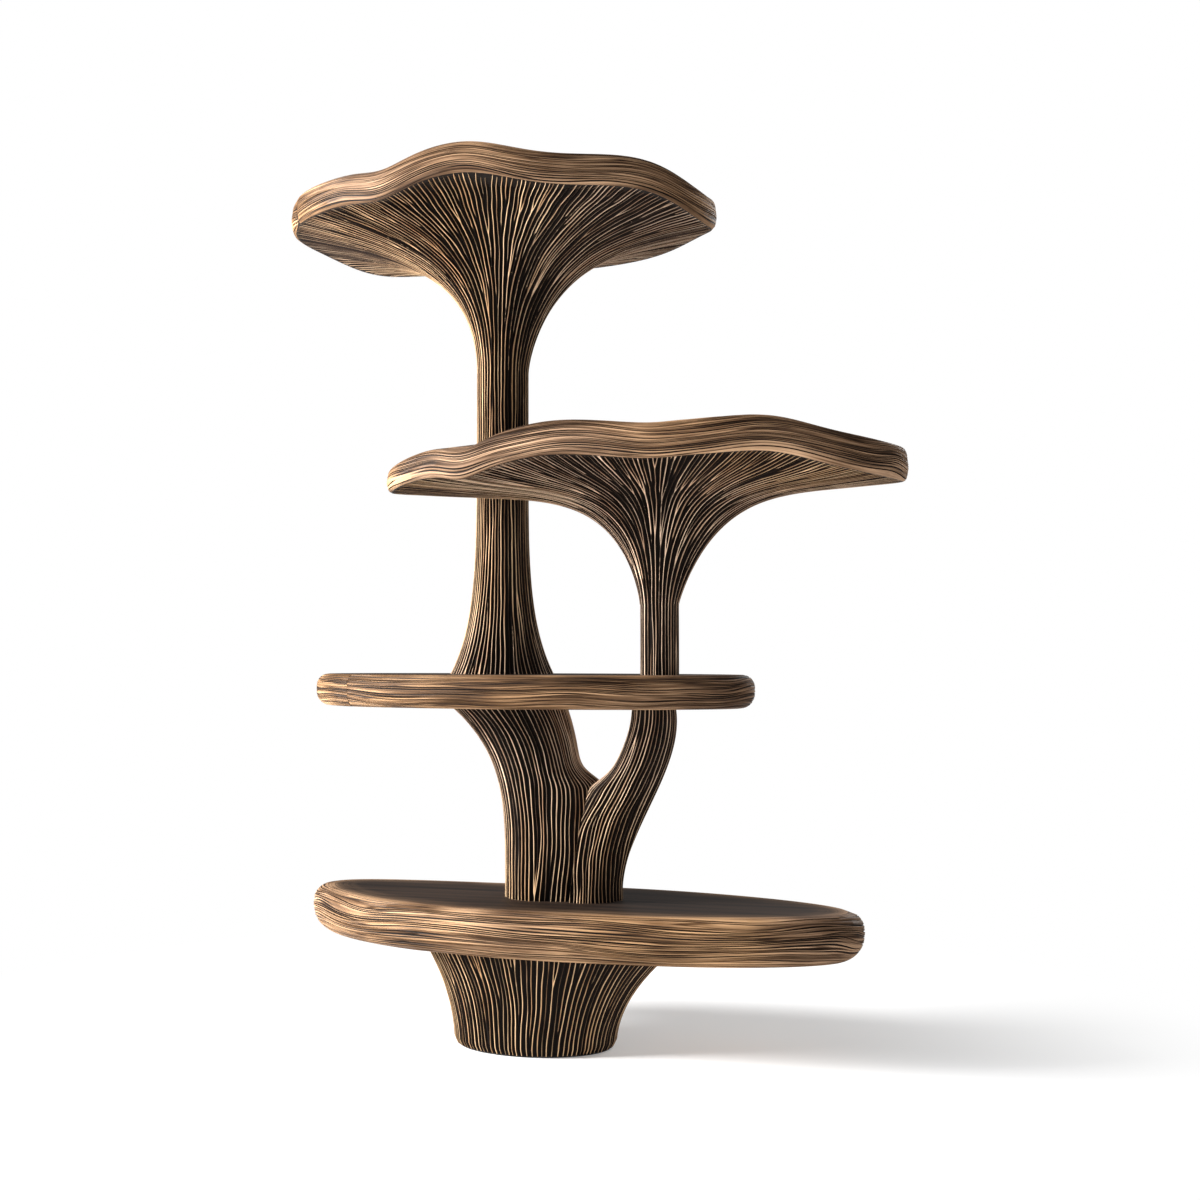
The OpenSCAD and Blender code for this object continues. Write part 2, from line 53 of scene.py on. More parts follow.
Array = np.ndarray
Surface = Callable[[Array, Array], Array]
Hole = tuple[Vector, Vector, float]
TURN = 2 * math.pi


def mix(a: Array | float, b: Array | float, t: Array | float) -> Array | float:
    """Value between a and b."""
    return a + (b - a) * t


def ease(x: Array | float) -> Array:
    """Smooth step from 0 to 1."""
    x = np.clip(x, 0.0, 1.0)
    return x * x * (3 - 2 * x)


def closed(values: Array) -> Array:
    """Repeats the first column behind the last one."""
    return np.concatenate([values, values[:, :1]], axis=1)


def unit(vectors: Array) -> Array:
    """The same directions with a length of 1."""
    return vectors / np.maximum(np.linalg.norm(vectors, axis=-1, keepdims=True), 1e-12)


def lengths(rows: Array) -> Array:
    """Mean distance of each row from the first one, along the columns."""
    steps = np.linalg.norm(np.diff(rows, axis=0), axis=-1).mean(axis=1)
    return np.concatenate([[0.0], np.cumsum(steps)])


class Slot(Enum):
    """Material slots of the record."""

    RIBBED = "ribbed_wood"
    BOARD = "board_wood"
    DOWEL = "dowel_wood"
    STEEL = "zinc_steel"
    RUBBER = "rubber_pad"


class Mark(Enum):
    """What the carving writes on a mesh for the finishes."""

    CREST = "crest"
    TONE = "tone"
    TOP = "top"
    GRAIN = "grain"


class Value:
    """A shader socket that takes part in sums."""

    def __init__(self, recipe: "Recipe", socket: bpy.types.NodeSocket) -> None:
        """Keeps the socket and the recipe that it belongs to."""
        self.recipe = recipe
        self.socket = socket

    def _math(self, operation: str, first: "Value | float", second: "Value | float") -> "Value":
        """Adds one Math node."""
        return self.recipe.add("ShaderNodeMath", {"operation": operation}, {0: first, 1: second})

    def __add__(self, other: "Value | float") -> "Value":
        """Sum."""
        return self._math("ADD", self, other)

    def __radd__(self, other: float) -> "Value":
        """Sum with a number on the left."""
        return self._math("ADD", other, self)

    def __sub__(self, other: "Value | float") -> "Value":
        """Difference."""
        return self._math("SUBTRACT", self, other)

    def __rsub__(self, other: float) -> "Value":
        """Difference with a number on the left."""
        return self._math("SUBTRACT", other, self)

    def __mul__(self, other: "Value | float") -> "Value":
        """Product."""
        return self._math("MULTIPLY", self, other)

    def __rmul__(self, other: float) -> "Value":
        """Product with a number on the left."""
        return self._math("MULTIPLY", other, self)


class Recipe:
    """The nodes of one finish."""

    def __init__(self, name: str) -> None:
        """Starts an empty material.

        Args:
            name: The material's name.
        """
        self.material = bpy.data.materials.new(name)
        self.material.use_nodes = True
        self.tree = self.material.node_tree
        self.tree.nodes.clear()

    def add(self, kind: str, settings: dict | None = None, inputs: dict | None = None,
            out: int | str = 0) -> Value:
        """Adds a node.

        Args:
            kind: The node's type.
            settings: Its properties; "stops" holds a ramp's places and colours.
            inputs: Values or links by socket name or number.
            out: The output that is returned.

        Returns:
            The chosen output.
        """
        node = self.tree.nodes.new(kind)
        for key, value in (settings or {}).items():
            if key == "stops":
                ramp = node.color_ramp
                while len(ramp.elements) < len(value):
                    ramp.elements.new(0.5)
                for element, (place, colour) in zip(ramp.elements, value):
                    element.position = place
                    element.color = (*colour, 1.0)
            else:
                setattr(node, key, value)
        for key, value in (inputs or {}).items():
            if isinstance(value, Value):
                self.tree.links.new(value.socket, node.inputs[key])
            else:
                node.inputs[key].default_value = value
        return Value(self, node.outputs[out] if len(node.outputs) else None)

    def colour(self, factor: Value | float, first: Value | tuple, second: Value | tuple,
               how: str = "MIX") -> Value:
        """Mixes two colours.

        Args:
            factor: Share of the second colour.
            first: The first colour.
            second: The second colour.
            how: Blend type.

        Returns:
            The mixed colour.
        """
        first = first if isinstance(first, Value) else (*first, 1.0)
        second = second if isinstance(second, Value) else (*second, 1.0)
        return self.add("ShaderNodeMix", {"data_type": "RGBA", "blend_type": how},
                        {0: factor, 6: first, 7: second}, out=2)

    def ramp(self, factor: Value, stops: list) -> Value:
        """Turns a value into a colour."""
        return self.add("ShaderNodeValToRGB", {"stops": stops}, {"Fac": factor})

    def tint(self, base: Value, share: Value | float, tone: tuple) -> Value:
        """Multiplies a colour by a tone, for a share."""
        return self.colour(share, base, self.colour(1.0, base, tone, "MULTIPLY"))

    def span(self, value: Value, low: float, high: float) -> Value:
        """Stretches low to high over 0 to 1, without going past them."""
        return self.add("ShaderNodeMapRange", {"clamp": True},
                        {"Value": value, "From Min": low, "From Max": high})

    def streaks(self, along: float, across: float, detail: float = 3.0, rough: float = 0.6,
                warp: float = 0.0) -> Value:
        """Noise drawn out along the grain, on the piece's own grain attribute.

        Args:
            along: Cells a metre along the grain.
            across: Cells a metre across it.
            detail: Octaves.
            rough: Weight of the finer octaves.
            warp: Distortion.

        Returns:
            A value round 0.5.
        """
        place = self.add("ShaderNodeAttribute", {"attribute_name": Mark.GRAIN.value}, {}, out="Vector")
        place = self.add("ShaderNodeMapping", {}, {"Vector": place, "Scale": (along, along, across)})
        return self.add("ShaderNodeTexNoise", {}, {"Vector": place, "Scale": 1.0, "Detail": detail,
                                                   "Roughness": rough, "Distortion": warp})

    def patches(self, scale: float, detail: float = 2.0, shift: tuple = (0.0, 0.0, 0.0),
                stretch: tuple = (1.0, 1.0, 1.0)) -> Value:
        """Noise through the whole object.

        Args:
            scale: Cells a metre.
            detail: Octaves.
            shift: Where the noise is read.
            stretch: Further factor of the cells a metre along X, Y and Z.

        Returns:
            A value round 0.5.
        """
        place = self.add("ShaderNodeTexCoord", {}, {}, out="Object")
        place = self.add("ShaderNodeMapping", {}, {"Vector": place, "Location": shift, "Scale": stretch})
        return self.add("ShaderNodeTexNoise", {}, {"Vector": place, "Scale": scale, "Detail": detail})

    def mark(self, mark: Mark) -> Value:
        """A value that the carving wrote on the mesh."""
        return self.add("ShaderNodeAttribute", {"attribute_name": mark.value}, {}, out="Fac")

    def close(self, sockets: dict, relief: Value, depth: float) -> bpy.types.Material:
        """Ends the tree in a Principled shader.

        Args:
            sockets: Its inputs.
            relief: Height of the fine relief, from 0 to 1.
            depth: What 1 means, in metres.

        Returns:
            The material.
        """
        bump = self.add("ShaderNodeBump", {}, {"Strength": 1.0, "Distance": depth, "Height": relief})
        shader = self.add("ShaderNodeBsdfPrincipled", {}, {**sockets, "Normal": bump})
        self.add("ShaderNodeOutputMaterial", {}, {"Surface": shader})
        return self.material


@dataclass(frozen=True)
class RibbedWood:
    """Carved ribs: pale, rubbed crests over near-black valleys, dark stain darkened further with painted
    shade.

    Attributes:
        name: The material's name.
        valley: Colour of the valleys: dark stain, darkened further as painted shade of the deep valleys.
        flank_stain_and_shade: Colour of their walls: dark stain with painted shade.
        dim: Darkest colour of a crest.
        brown: Its middle colour.
        pale: Its palest colour.
        painted_warm_light: Golden tone, painted on slow patches of the object as warm light.
        painted_warm_light_share: How far they take on this painted warm light.
        slow: Cells a metre, along the grain and across it, of slow changes.
        fleck: The same for flecks.
        pores: The same for the relief.
        relief: Depth of the relief, in metres.
        rough: Roughness of the valleys.
        polish: How much less the crests have.
        gloss: Specular level.
    """

    name: str
    # Valleys and walls: dark stain with painted shade of the deep valleys.
    valley: tuple = (0.0060, 0.0036, 0.0026)
    flank_stain_and_shade: tuple = (0.020, 0.0115, 0.0078)
    dim: tuple = (0.185, 0.106, 0.063)
    brown: tuple = (0.63, 0.39, 0.242)
    pale: tuple = (1.0, 0.72, 0.51)
    # Golden tone of the painted warm light.
    painted_warm_light: tuple = (1.08, 0.96, 0.62)
    painted_warm_light_share: float = 0.6
    slow: tuple = (5.0, 90.0)
    fleck: tuple = (30.0, 420.0)
    pores: tuple = (40.0, 900.0)
    relief: float = 0.0006
    rough: float = 0.8
    polish: float = 0.32
    gloss: float = 0.12

    def make(self) -> bpy.types.Material:
        """Mixes the finish.

        Returns:
            The material.
        """
        r = Recipe(self.name)
        crest, tone = r.mark(Mark.CREST), r.mark(Mark.TONE)
        slow = r.span(r.streaks(*self.slow, 2.0, 0.5), 0.3, 0.7)
        fleck = r.span(r.streaks(*self.fleck, 4.0, 0.65), 0.3, 0.72)
        # Painted warm light: slow golden patches that stand in for warm light on the crests.
        painted_warm_light = r.span(r.patches(1.9, 1.0, (3.1, 0.0, 1.7)), 0.44, 0.62)
        light = r.span(tone * 0.8 + slow * 0.5 + fleck * -0.2, -0.05, 0.74)
        top = r.ramp(light, [(0.0, self.dim), (0.45, self.brown), (1.0, self.pale)])
        top = r.tint(top, painted_warm_light * self.painted_warm_light_share, self.painted_warm_light)
        worn = r.span(crest + fleck * -0.1, 0.6, 0.9)
        # Walls and valleys: dark stain, with painted shade that deepens along the crest mark into the
        # valleys.
        body = r.colour(r.span(crest + fleck * 0.1, 0.15, 0.7), self.valley, self.flank_stain_and_shade)
        shade = r.colour(worn, body, top)
        return r.close({"Base Color": shade, "Roughness": self.rough - worn * self.polish,
                        "Specular IOR Level": self.gloss}, r.streaks(*self.pores, 3.0, 0.7), self.relief)


@dataclass(frozen=True)
class BoardWood:
    """Brown wood with carved grain on its edge and a dark, smooth top.

    Attributes:
        name: The material's name.
        groove: Colour of the carved grooves.
        dark: Darkest colour between them.
        brown: The middle colour.
        pale: The palest colour.
        top: Colour of the flat top.
        top_pale: Its paler streaks.
        line: Tone of the thin dark lines.
        line_width: Where such a line ends, and where the wood has its own colour again.
        painted_warm_light: Golden tone, painted on slow patches of the object as warm light.
        painted_warm_light_share: How far they take on this painted warm light.
        broad: Cells a metre, along the grain and across it, of broad streaks.
        fine: The same for fine streaks.
        patch: The same for patches.
        lines: The same for the thin dark lines.
        pores: The same for the relief.
        table: Cells a metre of the streaks on the flat top, along X, Y and Z.
        relief: Depth of the relief, in metres.
        rough: Roughness.
        polish: How much less the fine streaks have.
        gloss: Specular level.
    """

    name: str
    groove: tuple = (0.0100, 0.0062, 0.0045)
    dark: tuple = (0.043, 0.024, 0.015)
    brown: tuple = (0.192, 0.108, 0.060)
    pale: tuple = (0.64, 0.405, 0.248)
    top: tuple = (0.014, 0.0088, 0.0066)
    top_pale: tuple = (0.042, 0.026, 0.018)
    line: tuple = (0.22, 0.19, 0.17)
    line_width: tuple = (0.008, 0.035)
    # Golden tone of the painted warm light.
    painted_warm_light: tuple = (1.08, 0.96, 0.66)
    painted_warm_light_share: float = 0.55
    broad: tuple = (3.5, 70.0)
    fine: tuple = (7.0, 520.0)
    patch: tuple = (6.0, 9.0)
    lines: tuple = (1.8, 130.0)
    pores: tuple = (14.0, 700.0)
    table: tuple = (2.5, 60.0, 60.0)
    relief: float = 0.0006
    rough: float = 0.58
    polish: float = 0.1
    gloss: float = 0.12

    def wood(self, r: Recipe, tone: Value, fine: Value) -> Value:
        """Colour of the wood between the grooves.

        Args:
            r: The recipe.
            tone: Tone of each strip.
            fine: Fine streaks.

        Returns:
            The colour.
        """
        broad = r.span(r.streaks(*self.broad, 3.0, 0.55), 0.34, 0.66)
        # Painted warm light: slow golden patches that stand in for warm light on the wood.
        painted_warm_light = r.span(r.patches(1.9, 1.0, (0.4, 2.0, 5.0)), 0.45, 0.62)
        patch = r.span(r.streaks(*self.patch, 2.0, 0.5), 0.3, 0.7)
        light = r.span(tone * 0.35 + broad * 0.3 + fine * 0.4 + patch * 0.4, 0.26, 1.08)
        wood = r.ramp(light, [(0.0, self.dark), (0.45, self.brown), (1.0, self.pale)])
        wood = r.tint(wood, painted_warm_light * self.painted_warm_light_share, self.painted_warm_light)
        line = r.streaks(*self.lines, 2.0, 0.6) - 0.5
        line = r.add("ShaderNodeMath", {"operation": "ABSOLUTE"}, {0: line})
        return r.colour(r.span(line, *self.line_width), r.colour(1.0, wood, self.line, "MULTIPLY"), wood)

    def make(self) -> bpy.types.Material:
        """Mixes the finish.

        Returns:
            The material.
        """
        r = Recipe(self.name)
        crest, tone, flat = r.mark(Mark.CREST), r.mark(Mark.TONE), r.mark(Mark.TOP)
        fine = r.span(r.streaks(*self.fine, 4.0, 0.7), 0.32, 0.68)
        edge = r.colour(r.span(crest + fine * -0.1, 0.25, 0.85), self.groove, self.wood(r, tone, fine))
        streak = r.span(r.patches(1.0, 4.0, stretch=self.table), 0.38, 0.7)
        table = r.colour(streak, self.top, self.top_pale)
        return r.close({"Base Color": r.colour(flat, edge, table),
                        "Roughness": self.rough - (1 - flat) * fine * self.polish,
                        "Specular IOR Level": self.gloss},
                       r.streaks(*self.pores, 4.0, 0.7) * (1 - flat), self.relief)


@dataclass(frozen=True)
class PlainWood:
    """Turned beech for the dowels."""

    name: str
    dark: tuple = (0.47, 0.29, 0.14)
    pale: tuple = (0.60, 0.41, 0.23)
    cells: tuple = (300.0, 300.0, 12.0)

    def make(self) -> bpy.types.Material:
        """Mixes the finish.

        Returns:
            The material.
        """
        r = Recipe(self.name)
        grain = r.patches(1.0, 3.0, stretch=self.cells)
        shade = r.colour(r.span(grain, 0.35, 0.65), self.dark, self.pale)
        return r.close({"Base Color": shade, "Roughness": 0.6}, grain, 0.0002)


@dataclass(frozen=True)
class ZincSteel:
    """Zinc-plated steel for the rods, the nuts and the washers."""

    name: str
    dull: tuple = (0.50, 0.51, 0.52)
    bright: tuple = (0.66, 0.67, 0.68)

    def make(self) -> bpy.types.Material:
        """Mixes the finish.

        Returns:
            The material.
        """
        r = Recipe(self.name)
        cloud = r.span(r.patches(90.0, 3.0), 0.3, 0.7)
        return r.close({"Base Color": r.colour(cloud, self.dull, self.bright), "Metallic": 1.0,
                        "Roughness": 0.3 + cloud * 0.15}, r.patches(400.0, 3.0), 0.0001)


@dataclass(frozen=True)
class MattRubber:
    """Black rubber for the pad under the foot."""

    name: str
    black: tuple = (0.012, 0.012, 0.012)
    grey: tuple = (0.03, 0.03, 0.03)

    def make(self) -> bpy.types.Material:
        """Mixes the finish.

        Returns:
            The material.
        """
        r = Recipe(self.name)
        speck = r.span(r.patches(500.0, 2.0), 0.4, 0.7)
        shade = r.colour(speck, self.black, self.grey)
        return r.close({"Base Color": shade, "Roughness": 0.8}, speck, 0.0001)


class Bench:
    """Where a grid is laid over a surface and closed into a solid piece."""

    smooth_angle: float = math.radians(70)
    drill_sides: int = 32
    rim_reach: float = 0.0001
    rim_height: float = 0.00001

    @staticmethod
    def clear() -> None:
        """Deselects everything."""
        bpy.ops.object.select_all(action="DESELECT")

    @classmethod
    def pick(cls, piece: bpy.types.Object) -> None:
        """Selects one piece alone.

        Args:
            piece: The piece, which also becomes the active one.
        """
        cls.clear()
        piece.select_set(True)
        bpy.context.view_layer.objects.active = piece

    @classmethod
    def lay(cls, name: str, points: Array, marks: dict[Mark, Array], grain: Array,
            weld: float = 0.000002) -> bpy.types.Object:
        """Lays a grid over rows of points, welds its seam and closes its two ends.

        Args:
            name: The piece's name.
            points: Places by row and column; the columns go once round.
            marks: Values for the finishes, by row and column.
            grain: Place in the grain by row and column: two values along it and one across.
            weld: Distance under which two points become one.

        Returns:
            The finished object.
        """
        rows, columns = points.shape[:2]
        cls.clear()
        bpy.ops.mesh.primitive_grid_add(x_subdivisions=columns, y_subdivisions=rows - 1, size=1.0)
        piece = bpy.context.object
        piece.name = piece.data.name = name
        mesh = piece.data
        mesh.vertices.foreach_set("co", closed(points).astype(np.float32).ravel())
        layers = [(mark, "FLOAT", "value", values) for mark, values in marks.items()]
        layers.append((Mark.GRAIN, "FLOAT_VECTOR", "vector", grain))
        for mark, kind, member, values in layers:
            layer = mesh.attributes.new(mark.value, kind, "POINT")
            layer.data.foreach_set(member, closed(values).astype(np.float32).ravel())
        mesh.update()
        bpy.ops.object.mode_set(mode="EDIT")
        bpy.ops.mesh.select_mode(type="VERT")
        bpy.ops.mesh.select_all(action="SELECT")
        bpy.ops.mesh.remove_doubles(threshold=weld)
        bpy.ops.mesh.select_all(action="SELECT")
        bpy.ops.mesh.fill_holes(sides=0)
        bpy.ops.mesh.select_all(action="SELECT")
        bpy.ops.mesh.normals_make_consistent(inside=False)
        bpy.ops.mesh.select_all(action="DESELECT")
        bpy.ops.object.mode_set(mode="OBJECT")
        bpy.ops.object.shade_smooth_by_angle(angle=cls.smooth_angle)
        return piece

    @classmethod
    def bore(cls, piece: bpy.types.Object, holes: list[Hole]) -> None:
        """Drills round holes.

        Args:
            piece: The piece to drill.
            holes: The holes.
        """
        for start, end, diameter in holes:
            cls.clear()
            turn = (end - start).to_track_quat("Z", "Y").to_euler()
            bpy.ops.mesh.primitive_cylinder_add(vertices=cls.drill_sides, radius=diameter / 2,
                                                depth=(end - start).length,
                                                location=(start + end) / 2, rotation=turn)
            drill = bpy.context.object
            cls.pick(piece)
            cut = piece.modifiers.new("bore", "BOOLEAN")
            cut.operation = "DIFFERENCE"
            cut.solver = "MANIFOLD"
            cut.object = drill
            bpy.ops.object.modifier_apply(modifier=cut.name)
            bpy.data.objects.remove(drill, do_unlink=True)

    @classmethod
    def mark_rims(cls, piece: bpy.types.Object, holes: list[Hole], top: float) -> None:
        """Gives the rims of upright holes the marks of the flat face that they lie in.

        Args:
            piece: The drilled piece.
            holes: The holes.
            top: Height of the flat top.
        """
        mesh = piece.data
        places = np.empty(3 * len(mesh.vertices))
        mesh.vertices.foreach_get("co", places)
        places = places.reshape(-1, 3)
        rims = np.zeros(len(places), dtype=bool)
        for start, _, diameter in holes:
            distance = np.hypot(places[:, 0] - start.x, places[:, 1] - start.y)
            rims |= distance < diameter / 2 + cls.rim_reach
        above = rims & (places[:, 2] > top - cls.rim_height)
        changes = ((Mark.CREST, rims, 1.0), (Mark.TONE, rims, 0.5), (Mark.TOP, above, 1.0))
        for mark, chosen, value in changes:
            values = np.empty(len(places))
            mesh.attributes[mark.value].data.foreach_get("value", values)
            values[chosen] = value
            mesh.attributes[mark.value].data.foreach_set("value", values)

    @classmethod
    def split(cls, piece: bpy.types.Object, x: float, keep_right: bool) -> None:
        """Saws a piece on an upright plane and closes the cut.

        Args:
            piece: The piece to saw.
            x: Where the plane crosses the X axis.
            keep_right: Whether the right part stays, or the left one.
        """
        cls.pick(piece)
        bpy.ops.object.mode_set(mode="EDIT")
        bpy.ops.mesh.select_all(action="SELECT")
        bpy.ops.mesh.bisect(plane_co=(x, 0, 0), plane_no=(1, 0, 0), use_fill=True,
                            clear_inner=keep_right, clear_outer=not keep_right)
        bpy.ops.mesh.select_all(action="DESELECT")
        bpy.ops.object.mode_set(mode="OBJECT")


@dataclass(frozen=True)
class RibSection:
    """How a rib looks across, between the valleys beside it.

    Attributes:
        shut: Distance between two ribs, in metres, up to which there is no valley.
        opening: Further distance over which the valley gets its full depth.
        low: Share of its width that a rib without height keeps.
        broad: Half width of a broad rib, as a share of the distance to the next one.
        most: Most that a half width takes of that distance.
        most_broad: The same for a broad rib.
        wall: Most that a wall takes of it.
        brow: Drop at the top of a wall, as a share of the valley's depth.
        heel: Drop at its foot.
        low_crest: Crest mark of a rib without height.
        brow_loss: How much of the crest mark goes at the top of a wall.
        heel_loss: How much of it goes at the foot.
        broad_loss: How much of crest mark and depth goes where ribs are broad.
        broad_dim: How much of the tone goes there.
    """

    shut: float = 0.0012
    opening: float = 0.0052
    low: float = 0.45
    broad: float = 0.34
    most: float = 0.2
    most_broad: float = 0.36
    wall: float = 0.13
    brow: float = 0.09
    heel: float = 0.68
    low_crest: float = 0.2
    brow_loss: float = 0.22
    heel_loss: float = 0.7
    broad_loss: float = 0.3
    broad_dim: float = 0.7


@dataclass
class Ribs:
    """Ribs that run along a surface, where a new one starts as soon as two lie too far apart.

    They start evenly spread on the narrowest row and drift a little from row to row. A new rib
    forks off its neighbour, or it rises out of the valley between two others.

    Attributes:
        count: Ribs on the narrowest row.
        limit: Distance at which a new rib starts, on the first row and on the last.
        seed: Seed of all draws.
        depth: Depth of a wide valley.
        half: Half width of a rib.
        slope: Width of a wall.
        wander: Metres by which each rib drifts from row to row.
        sway: Metres by which neighbours drift together.
        spread: Share of a step that pushes ribs apart.
        forks: Share of the new ribs that fork off.
        low_share: Share of the ribs that are clearly lower.
        bright: Mean tone.
        parting: Rows over which a fork gets a look of its own.
        room: Least and most room that a rib claims.
        limit_spread: Least and most factor of the limit.
        fork_gap: Distance at which a fork starts beside its parent.
        rise_place: Where between its neighbours a rising rib starts.
        rise_rows: Rows over which it rises.
        memory: Share of its drift that a rib keeps.
        settling: Rounds in which the first row settles.
        settle: Share of its pull that a rib gives way to in a round.
        settle_most: Most that it moves, as a share of the distance to the next one.
        flow_waves: Count of the waves in which neighbours drift together.
        flow_turns: Least count of their turns round the piece, and one past the most.
        flow_pace: Least and most radians by which they move from row to row.
        widths: Least and most factor of the width.
        stout: Share of stout ribs, and how much wider these are.
        swell: Least width along a rib, and how much is added at most.
        lows: How much lower the lower ribs and the others are at most.
        low_spread: Least and most factor of that.
        dips: Least share of that along a rib, and how much is added at most.
        tones: How much the tone differs from rib to rib, and how much it swings along one.
        grain: How far ribs, and the six points of a rib, lie apart across the grain.
        step: Angle for a difference.
        section: How a rib looks across.
    """

    count: int
    limit: tuple[float, float]
    seed: int
    depth: float = 0.005
    half: float = 0.00065
    slope: float = 0.0014
    wander: float = 0.000035
    sway: float = 0.0007
    spread: float = 0.10
    forks: float = 0.35
    low_share: float = 0.3
    bright: float = 0.5
    parting: float = 14.0
    room: tuple[float, float] = (0.72, 1.35)
    limit_spread: tuple[float, float] = (0.82, 1.18)
    fork_gap: float = 0.0004
    rise_place: tuple[float, float] = (0.4, 0.6)
    rise_rows: tuple[int, int] = (3, 16)
    memory: float = 0.88
    settling: int = 300
    settle: float = 0.4
    settle_most: float = 0.2
    flow_waves: int = 9
    flow_turns: tuple[int, int] = (1, 9)
    flow_pace: tuple[float, float] = (0.08, 0.34)
    widths: tuple[float, float] = (0.7, 1.35)
    stout: tuple[float, float] = (0.12, 0.6)
    swell: tuple[float, float] = (0.7, 0.6)
    lows: tuple[float, float] = (0.45, 0.12)
    low_spread: tuple[float, float] = (0.3, 1.0)
    dips: tuple[float, float] = (0.4, 0.6)
    tones: tuple[float, float] = (0.35, 0.6)
    grain: tuple[float, float] = (0.0137, 0.0017)
    step: float = 1e-3
    section: RibSection = RibSection()

    def speed(self, surface: Surface, angles: Array, level: Array) -> Array:
        """Metres that a surface runs sideways for one radian."""
        ahead = surface(angles + self.step, level)
        return np.linalg.norm(ahead - surface(angles - self.step, level), axis=-1) / (2 * self.step)

    @staticmethod
    def gaps(angles: Array) -> Array:
        """Angle from each rib to the next one."""
        return np.append(np.diff(angles), angles[0] + TURN - angles[-1])

    def pull(self, angles: Array, speed: Array, weights: Array) -> Array:
        """Metres by which each rib lies too near to one of its neighbours."""
        room = self.gaps(angles) * speed / (weights + np.roll(weights, -1))
        return room - np.roll(room, 1)

    def grow(self, surface: Surface, rows: Array, restless: Callable[[float], float]
             ) -> tuple[Array, Array, Array, list[tuple[int, int, int]]]:
        """Traces the ribs.

        Args:
            surface: Gives a point for an angle and a share of the way.
            rows: Shares of the way, from the narrowest row on.
            restless: How much the ribs wander at a share of the way.

        Returns:
            Angle and strength of each rib by row, in ring order, the ribs' numbers, and each
            fork's number, its parent's and its first row. The strength is below 0 where a rib
            that rises out of a valley isn't there yet.
        """
        rng = np.random.default_rng(self.seed)
        angles = TURN * np.arange(self.count) / self.count
        weights = rng.uniform(*self.room, self.count)
        first = np.full(self.count, rows[0])
        for _ in range(self.settling):
            speed, gaps = self.speed(surface, angles, first), self.gaps(angles)
            pull = self.pull(angles, speed, weights) / np.maximum(speed, np.roll(speed, 1))
            most = self.settle_most * gaps
            angles = angles + np.clip(self.settle * pull, -np.roll(most, 1), most)
        flow = [(rng.integers(*self.flow_turns), rng.uniform(*self.flow_pace), rng.uniform(0, TURN),
                 rng.normal()) for _ in range(self.flow_waves)]
        drift = np.zeros(self.count)
        ring, parents = list(range(self.count)), [-1] * self.count
        births, rises = [0] * self.count, [0] * self.count
        paths: list[dict[int, float]] = []
        for k, u in enumerate(rows):
            speed, gaps = self.speed(surface, angles, np.full(len(angles), u)), self.gaps(angles)
            wide = gaps * (speed + np.roll(speed, -1)) / 2 * (k > 1)
            limit = mix(self.limit[0], self.limit[1], abs(u - rows[0]))
            limits = limit * rng.uniform(*self.limit_spread, len(angles))
            for j in np.nonzero(wide > limits)[0][::-1]:
                if rng.random() < self.forks:
                    left = rng.random() < 0.5
                    near = self.fork_gap / speed[j]
                    place = angles[j] + (near if left else gaps[j] - near)
                    parents.append(ring[j] if left else ring[(j + 1) % len(ring)])
                    rises.append(0)
                else:
                    place = angles[j] + gaps[j] * rng.uniform(*self.rise_place)
                    parents.append(-1)
                    rises.append(int(rng.integers(*self.rise_rows)))
                births.append(k)
                ring.insert(j + 1, len(parents) - 1)
                angles = np.insert(angles, j + 1, place)
                weights = np.insert(weights, j + 1, rng.uniform(*self.room))
                drift = np.insert(drift, j + 1, 0.0)
                speed = np.insert(speed, j + 1, speed[j])
            paths.append(dict(zip(ring, angles)))
            unrest = restless(u)
            drift = self.memory * drift + rng.normal(0.0, self.wander, len(angles)) * unrest
            move = drift + self.spread * self.pull(angles, speed, weights)
            for turns, pace, phase, size in flow:
                wave = np.sin(turns * angles + pace * k + phase)
                move = move + self.sway * pace * size / 3 * unrest * wave
            angles = np.maximum.accumulate(angles + move / speed)
        table = np.full((len(rows), len(parents)), np.nan)
        for k, row in enumerate(paths):
            table[k, list(row)] = list(row.values())
        strength = np.ones_like(table)
        forked = []
        for child in range(self.count, len(parents)):
            unborn = np.isnan(table[:, child])
            if parents[child] >= 0:
                forked.append((child, parents[child], births[child]))
                table[unborn, child] = table[unborn, parents[child]]
                strength[unborn, child] = strength[unborn, parents[child]]
            else:
                strength[:, child] = (np.arange(len(rows)) - births[child]) / rises[child]
        return table[:, ring], np.minimum(strength[:, ring], 1.0), np.array(ring), forked

    def inherit(self, values: Array, ids: Array, forked: list[tuple[int, int, int]]) -> Array:
        """Gives a fork its parent's values until it parts from it, and its own soon after.

        Args:
            values: Values by row and rib, in ring order.
            ids: The ribs' numbers.
            forked: Each fork's number, its parent's and its first row.

        Returns:
            The values.
        """
        place = np.argsort(ids)
        rows = np.arange(len(values))
        for child, parent, birth in forked:
            share = ease((rows - birth) / self.parting)
            values[:, place[child]] = mix(values[:, place[parent]], values[:, place[child]], share)
        return values

    def draw(self, stream: int, ring: Array, low: float, high: float) -> Array:
        """A random number for each rib that depends on nothing but its own number."""
        return np.random.default_rng([self.seed, stream]).uniform(low, high, len(ring))[ring]

    def along(self, stream: int, ring: Array, rows: int, pace: float) -> Array:
        """Smooth noise along each rib.

        Args:
            stream: Which noise.
            ring: The ribs' numbers.
            rows: Count of rows.
            pace: Radians a row of its slowest wave.

        Returns:
            Values from 0 to 1 by row and rib.
        """
        total = np.zeros((rows, len(ring)))
        for m, factor in enumerate((1.0, 2.3, 4.1)):
            phase = self.draw(stream + m, ring, 0, TURN)
            rate = pace * factor * self.draw(stream + 5 + m, ring, 0.7, 1.3)
            total += np.sin(np.arange(rows)[:, None] * rate + phase) / factor
        return np.clip(0.5 + total / 2.6, 0, 1)

